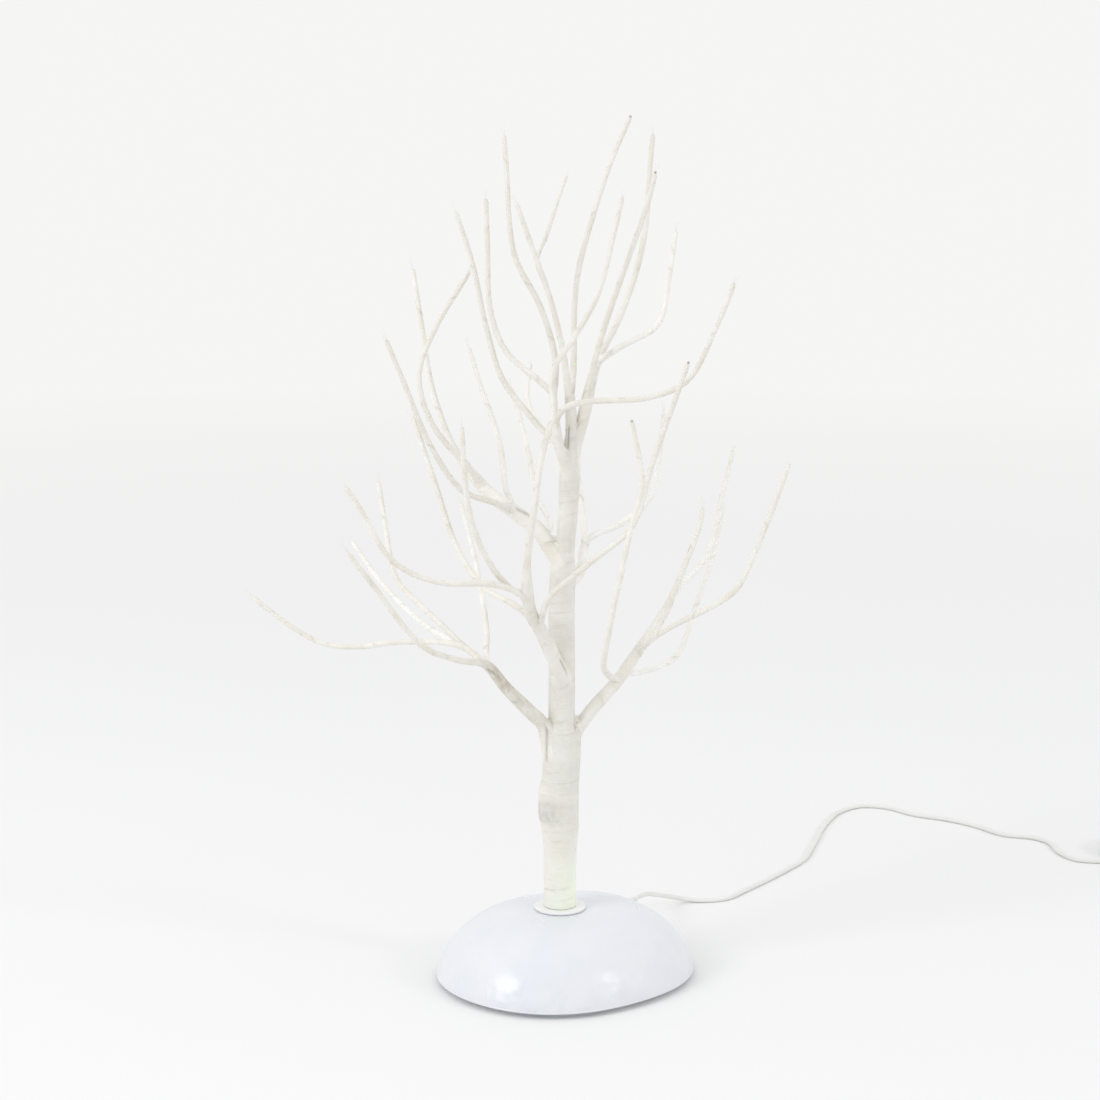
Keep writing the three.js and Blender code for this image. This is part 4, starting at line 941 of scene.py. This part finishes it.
def wound(way, girth, stop, winding, seed, parent=None, hand=1, soft_end=True, lump=None, slits=()):
    """The skin of a bundle wound with tape: one strip that climbs it, its edges proud here and there."""
    pitch, lift, sides, ridges = winding
    rows = np.array([0.0, 0.06, 0.35, 0.7, 1.0])
    count, columns = len(rows), int((stop / pitch + 2) * sides)
    t = (np.arange(columns + 1) / sides - 1.5)[:, None] + 0 * rows[None, :]
    w = rows[None, :] + 0 * t
    distance = pitch * (t + w)
    distance = distance + 0.2 * pitch * waver(distance, seed, pitch * 4.7)
    inside = (distance > 0) & (distance < stop)
    s = np.clip(distance, 0, stop)
    angle = hand * TAU * t
    place, _, normal, side = way.at(s)
    out = normal * np.cos(angle)[..., None] + side * np.sin(angle)[..., None]
    radius = girth_at(girth, s / way.length)
    fold_shade = np.zeros_like(radius)
    if parent:
        k = float(np.clip(0.5 * girth[0][1], 1.2, 2.6))
        skin = s.ravel(), place.reshape(-1, 3), out.reshape(-1, 3), radius.ravel()
        radius, fold_shade = (a.reshape(radius.shape) for a in blended(way, girth, parent, *skin, k))
    patchy = np.clip(0.35 + 0.9 * waver(s + 5 * np.cos(angle), seed + 1, 37), 0, 1.1)
    radius = radius + np.where(inside, lift * patchy * (0.75 - w), 0)
    lumps = np.sin(5 * angle + s / 9 + seed) + 0.7 * np.sin(8 * angle - s / 13 + 2 * seed)
    radius = radius + ridges * lumps + 0.5 * ridges * waver(s, seed + 5, 11)
    worn_and_shaded = np.zeros_like(radius)
    if lump:
        swell, worn_and_shaded = lump(s, angle)
        radius = radius + swell
    if soft_end:
        radius = radius * (1 - 0.3 * np.clip((s - stop + 1.6) / 1.6, 0, 1) ** 2)
    vertices = place + out * radius[..., None]
    for slit in slits:
        # painted shade along each slit, where the skin is also sunk
        dark = slit_depth(vertices, place, slit)
        vertices = vertices - out * (0.5 * dark)[..., None]
        fold_shade = np.maximum(fold_shade, 0.62 * dark)
    faces = []
    for j in range(columns):
        for k in range(count - 1):
            if inside[j : j + 2, k : k + 2].any():
                a = j * count + k
                faces.append([a, a + count, a + count + 1, a + 1])
        if j + sides + 1 <= columns and inside[j : j + 2, -1].any():
            a, b = j * count + count - 1, (j + sides) * count
            faces.append([a, a + count, b + count, b])
    if hand < 0:
        faces = [f[::-1] for f in faces]
    wrap = np.stack([t * TAU * girth_at(girth, 0.5), pitch * (w + t), w], axis=-1)
    # painted shade under each strip's edge, at its seam
    seam = np.where(w > 0.99, 1.0, np.where(w < 0.01, 0.5, 0.0)) * inside * patchy
    marks = {"wrap": wrap.reshape(-1, 3), "seam": seam.ravel(), "fold_shade": fold_shade.ravel(), "worn_and_shaded": worn_and_shaded.ravel()}
    return vertices.reshape(-1, 3), faces, marks


def step_between(x, low, high, soft):
    """1 between the two values and 0 outside them, with soft ends."""
    rise = lambda y: 1 / (1 + np.exp(-np.clip(y / soft, -30, 30)))
    return rise(x - low) * rise(high - x)


def trunk_lump(s, angle):
    """The gathered end of the tape on the trunk's left, a little proud and grey."""
    ragged = s + 1.4 * waver(angle, 17, 1.3)
    swell = 2.0 * step_between(ragged, 59, 82, 0.8) * np.clip(np.cos(angle - math.radians(188)), 0, 1) ** 3
    grey = step_between(ragged, 58.5, 74, 0.7) * np.clip(1.6 * np.cos(angle - math.radians(215)) - 0.5, 0, 1)
    return swell, 0.4 * grey + 0.24 * step_between(ragged, 58, 320, 3) * (0.75 + 0.5 * waver(s, 8, 31))


def low_left_shade(s, angle):
    """Painted shade on the low left limb, in brown, darkest near its first fork."""
    tone = 0.26 * step_between(s, 26, 102, 4) + 0.4 * step_between(s, 60, 100, 6)
    return 0 * s, tone * (0.85 + 0.3 * waver(s + 3 * np.cos(angle), 23, 17))


STRANDS, STRAND_RADIUS = 4, 0.11


def tuft(way, stop, girth, bare, seed):
    """The bare fibres beyond the tape: hair-fine, a little bent, and of uneven length."""
    rng = np.random.default_rng(seed)
    place, tangent, normal, side = (a[0] for a in way.at([stop - 3]))
    spread = girth_at(girth, stop / way.length) * 0.55
    strands = []
    for i in range(STRANDS):
        turn = TAU * (i + rng.uniform(-0.3, 0.3)) / STRANDS
        ring = spread * (1.0 if i % 3 else 0.3)
        out = normal * math.cos(turn) + side * math.sin(turn)
        length = bare * rng.uniform(0.35, 1.0)
        opened = rng.uniform(0.2, 1.3)
        bend = (normal * rng.uniform(-1, 1) + side * rng.uniform(-1, 1)) * 0.5
        points = [
            place + out * ring,
            place + tangent * 3 + out * ring,
            place + tangent * (3 + length * 0.5) + out * (ring + opened * 0.35) + bend * 0.4,
            place + tangent * (3 + length) + out * (ring + opened) + bend,
        ]
        line = Way(smooth_line(points, 0.8))
        strands.append(tube(line, np.linspace(0, line.length, 8), np.full(8, STRAND_RADIUS), 6))
    return gathered(strands)


# Slits between strips on the front, sunk a little and painted dark as shade: the bundles they show on, both
# ends [x, z], and half their width
SLITS = [
    (("limb_low_left", "trunk"), (-8.5, 170), (-8.9, 147), 0.6),
    (("limb_low_left",), (-46, 212), (-38, 206), 0.6),
    (("limb_mid_left", "trunk"), (-29, 312), (-19, 307), 0.6),
    (("limb_front", "trunk"), (0, 217), (4.3, 208), 0.5),
    (("limb_low_right", "trunk"), (9.8, 180), (9.8, 168), 0.5),
    (("trunk", "leader_left"), (5.4, 366), (4.8, 351), 0.45),
    (("trunk", "leader_right"), (20.6, 400), (17, 386), 0.5),
    (("limb_low_right",), (80, 279), (84, 283), 0.6),
]
# How each bundle is wound: the strip's pitch, how proud its edge is, the number of sides, and the ridges
TRUNK_WINDING = (8.0, 0.16, 64, 0.08)
LIMB_WINDING = (13.0, 0.12, 32, 0.07)
TWIG_WINDING = (10.5, 0.09, 20, 0.04)
PALE_ENDINGS = ("back", "rear", "upright", "middle", "right_low")
WARM_WORDS = ("limb_front", "front_right", "high", "top", "crown", "leader", "mid_left_")
WAYS = {}


def tape_for(name):
    if name == "trunk":
        return TRUNK_TAPE
    if name.endswith(PALE_ENDINGS) and "front" not in name:
        return PALE_TAPE
    return WARM_TAPE if any(word in name for word in WARM_WORDS) else TAPE


def build_tree():
    for number, (name, parent, share, girth, points) in enumerate(BUNDLES):
        root = np.array([0, 0, TRUNK_FOOT])
        if parent:
            at = WAYS[parent].length * share
            root = WAYS[parent].at([at])[0][0]
            points = [(0, 0, 0), *points]
            host = (WAYS[parent], GIRTHS[parent], at)
        line = Way(smooth_line([root + np.array(p, float) for p in points]))
        WAYS[name] = line
        bare = BARE[name]
        stop = line.length - bare
        slits = [slit for owners, *slit in SLITS if name in owners]
        if parent:
            winding = LIMB_WINDING if name.startswith(("limb", "leader")) else TWIG_WINDING
            # painted shade on the low left limb
            wear_and_shade = low_left_shade if name == "limb_low_left" else None
            hand = 1 if number % 2 else -1
            shape = wound(line, girth, stop, winding, number, host, hand, lump=wear_and_shade, slits=slits)
        else:
            shape = wound(line, girth, stop, TRUNK_WINDING, 3, soft_end=False, lump=trunk_lump, slits=slits)
        vertices, faces, marks = shape
        mesh = mesh_of(name, vertices, faces, 28, marks, close=True)
        piece("wound_" + name, mesh, tape_for(name), "tree", "tape", name)
        if bare:
            shaped("fibres_" + name, tuft(line, stop, girth, bare, 40 + number), 60, FIBRE, "tree", "lens")


build_tree()


# Fibre ends out through the tape: the bundle, how far along it, and the turn from its front to the right
FIBRE_ENDS = [
    ("twig_crown_right", 25, 20), ("twig_crown_left", 17, -40), ("twig_crown_left", 44, 30),
    ("twig_top_right_outer", 30, 10), ("twig_top_left_inner", 59, -30), ("leader_left", 90, 25),
    ("limb_low_right", 54, -10), ("limb_low_right", 60, -55), ("limb_low_right", 82, 40),
    ("limb_low_right", 97, 15), ("limb_front", 74, 20), ("limb_front", 216, -30), ("leader_right", 118, 15),
    ("limb_mid_left", 84, -20), ("twig_mid_left_inner", 62, 20), ("twig_low_right_inner", 150, 0),
    ("twig_front_right", 96, -25),
]
# Twigs whose fibres end in a dark speck
UNLIT_ENDS = ["twig_crown_right", "twig_top_right_front", "twig_low_right_inner", "twig_front_right"]


def build_fibre_ends():
    parts = []
    for name, distance, turn in FIBRE_ENDS:
        place, tangent, _, _ = (a[0] for a in WAYS[name].at([distance]))
        front = np.array([0, -1.0, 0]) - tangent * -tangent[1]
        front /= np.linalg.norm(front)
        right = np.cross(tangent, front)
        right *= math.copysign(1, right[0])
        out = front * math.cos(math.radians(turn)) + right * math.sin(math.radians(turn))
        radius = girth_at(GIRTHS[name], distance / WAYS[name].length)
        base = place + out * (radius - 1.0)
        points = [base, base + out * 1.0 + tangent * 0.3, base + out * 1.9 + tangent * 1.0]
        line = Way(smooth_line(points, 0.4))
        parts.append(tube(line, np.linspace(0, line.length, 8), [0.27] * 6 + [0.22, 0.12], 10))
    shaped("fibre_ends", gathered(parts), 50, FIBRE_END, "tree", "lens")
    parts = []
    for name in UNLIT_ENDS:
        steps = WAYS[name].length - BARE[name] + np.array([-1.0, -0.2, 0.6, 1.1, 1.4])
        parts.append(tube(WAYS[name], steps, [0.7, 0.8, 0.75, 0.6, 0.3], 14))
    shaped("unlit_ends", gathered(parts), 40, SPECK, "tree", "lens")


build_fibre_ends()


# The bundle inside the ferrule, and the ferrule

STEM_RADIUS, FERRULE_BORE, FERRULE_RADIUS, FERRULE_BEVEL = 7.1, 7.4, 9.0, 0.6


def build_stem():
    low, high = FERRULE_BOTTOM, TRUNK_FOOT + 1
    stem = rounded([(0, low), (STEM_RADIUS, low), (STEM_RADIUS, high), (0, high)], 0.2, 2)
    shaped("fibre_stem", lathe(stem, 48), 30, FIBRE, "tree", "lens")
    high = TRUNK_FOOT - GAP
    profile = [
        (FERRULE_BORE, low), (FERRULE_RADIUS - FERRULE_BEVEL, low), (FERRULE_RADIUS, low + FERRULE_BEVEL),
        (FERRULE_RADIUS, high), (FERRULE_BORE, high),
    ]
    shaped("ferrule", lathe(rounded(profile, 0.2, 3)), 30, BRASS, "tree", "brass", "fibre_ferrule")


build_stem()


# The rigid pieces that show as the solids have them, each in its own material

LOOKS = {
    "base_plate": PLATE, "heat_sink": ALUMINIUM, "lamp": LENS, "wheel_motor": STEEL, "motor_bracket": PLATE,
    "circuit_board": CIRCUIT, "inner_lead": LEAD, "wheel_frame": WHITE, "wheel_shaft": STEEL,
    "filter_red": RED, "filter_green": GREEN, "filter_blue": BLUE,
    **{f"plate_screw_{i}": STEEL for i in range(1, 5)},
}
for node, look in LOOKS.items():
    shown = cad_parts[node].data.materials
    shown.clear()
    shown.append(look)


# Floor, world and lamps

BACKDROP = (0.915, 0.916, 0.907, 1)
FLOOR_REACH = 9000


def build_stage():
    look = Look("floor_paint")
    look.set(Base_Color=look.ramp(look.noise(1.2), (0.875, 0.877, 0.87), (0.885, 0.887, 0.88)))
    look.set(Roughness=0.8, Specular_IOR_Level=0.2)
    away = look.node("ShaderNodeVectorMath", {0: look.place()}, operation="LENGTH").outputs["Value"]
    far = look.maths("MULTIPLY", look.scaled(away, 0.9, 3.2, 0, 1), look.looked_at())
    beyond = look.node("ShaderNodeEmission", {"Color": BACKDROP})
    look.put(look.out.inputs["Surface"], look.shader_between(far, look.shader, beyond))
    corners = [(x * FLOOR_REACH, y * FLOOR_REACH, 0) for x, y in ((-1, -1), (1, -1), (1, 1), (-1, 1))]
    mesh = mesh_of("floor", corners, [[0, 1, 2, 3]])
    mesh.materials.append(look.material)
    linked("floor", mesh)


def build_world():
    """Soft light that is stronger from above, and an even backdrop for what is looked at."""
    world = bpy.data.worlds.new("studio")
    scene.world = world
    world.use_nodes = True
    sky = Nodes(world.node_tree)
    strength = sky.scaled(sky.height("Generated"), 0.0, 0.9, 0.68, 1.0)
    light = sky.node("ShaderNodeBackground", {"Color": (0.99, 0.99, 1.0, 1), "Strength": strength})
    seen = sky.node("ShaderNodeBackground", {"Color": BACKDROP, "Strength": 1.0})
    sky.node("ShaderNodeOutputWorld", {"Surface": sky.shader_between(sky.looked_at(), light, seen)})


def softbox(name, place, target, size, power):
    data = bpy.data.lights.new(name, "AREA")
    data.shape = "RECTANGLE"
    data.size, data.size_y = size
    data.energy = power
    lamp = linked(name, data)
    lamp.location = place
    lamp.rotation_euler = (Vector(target) - Vector(place)).to_track_quat("-Z", "Y").to_euler()


build_stage()
build_world()
softbox("key", (-2.0, -1.25, 1.65), (0, 0, 0.2), (0.95, 0.95), 17)
softbox("fill", (2.15, -1.05, 1.45), (0, 0, 0.25), (0.5, 0.55), 7)
scene.view_settings.view_transform = "Standard"
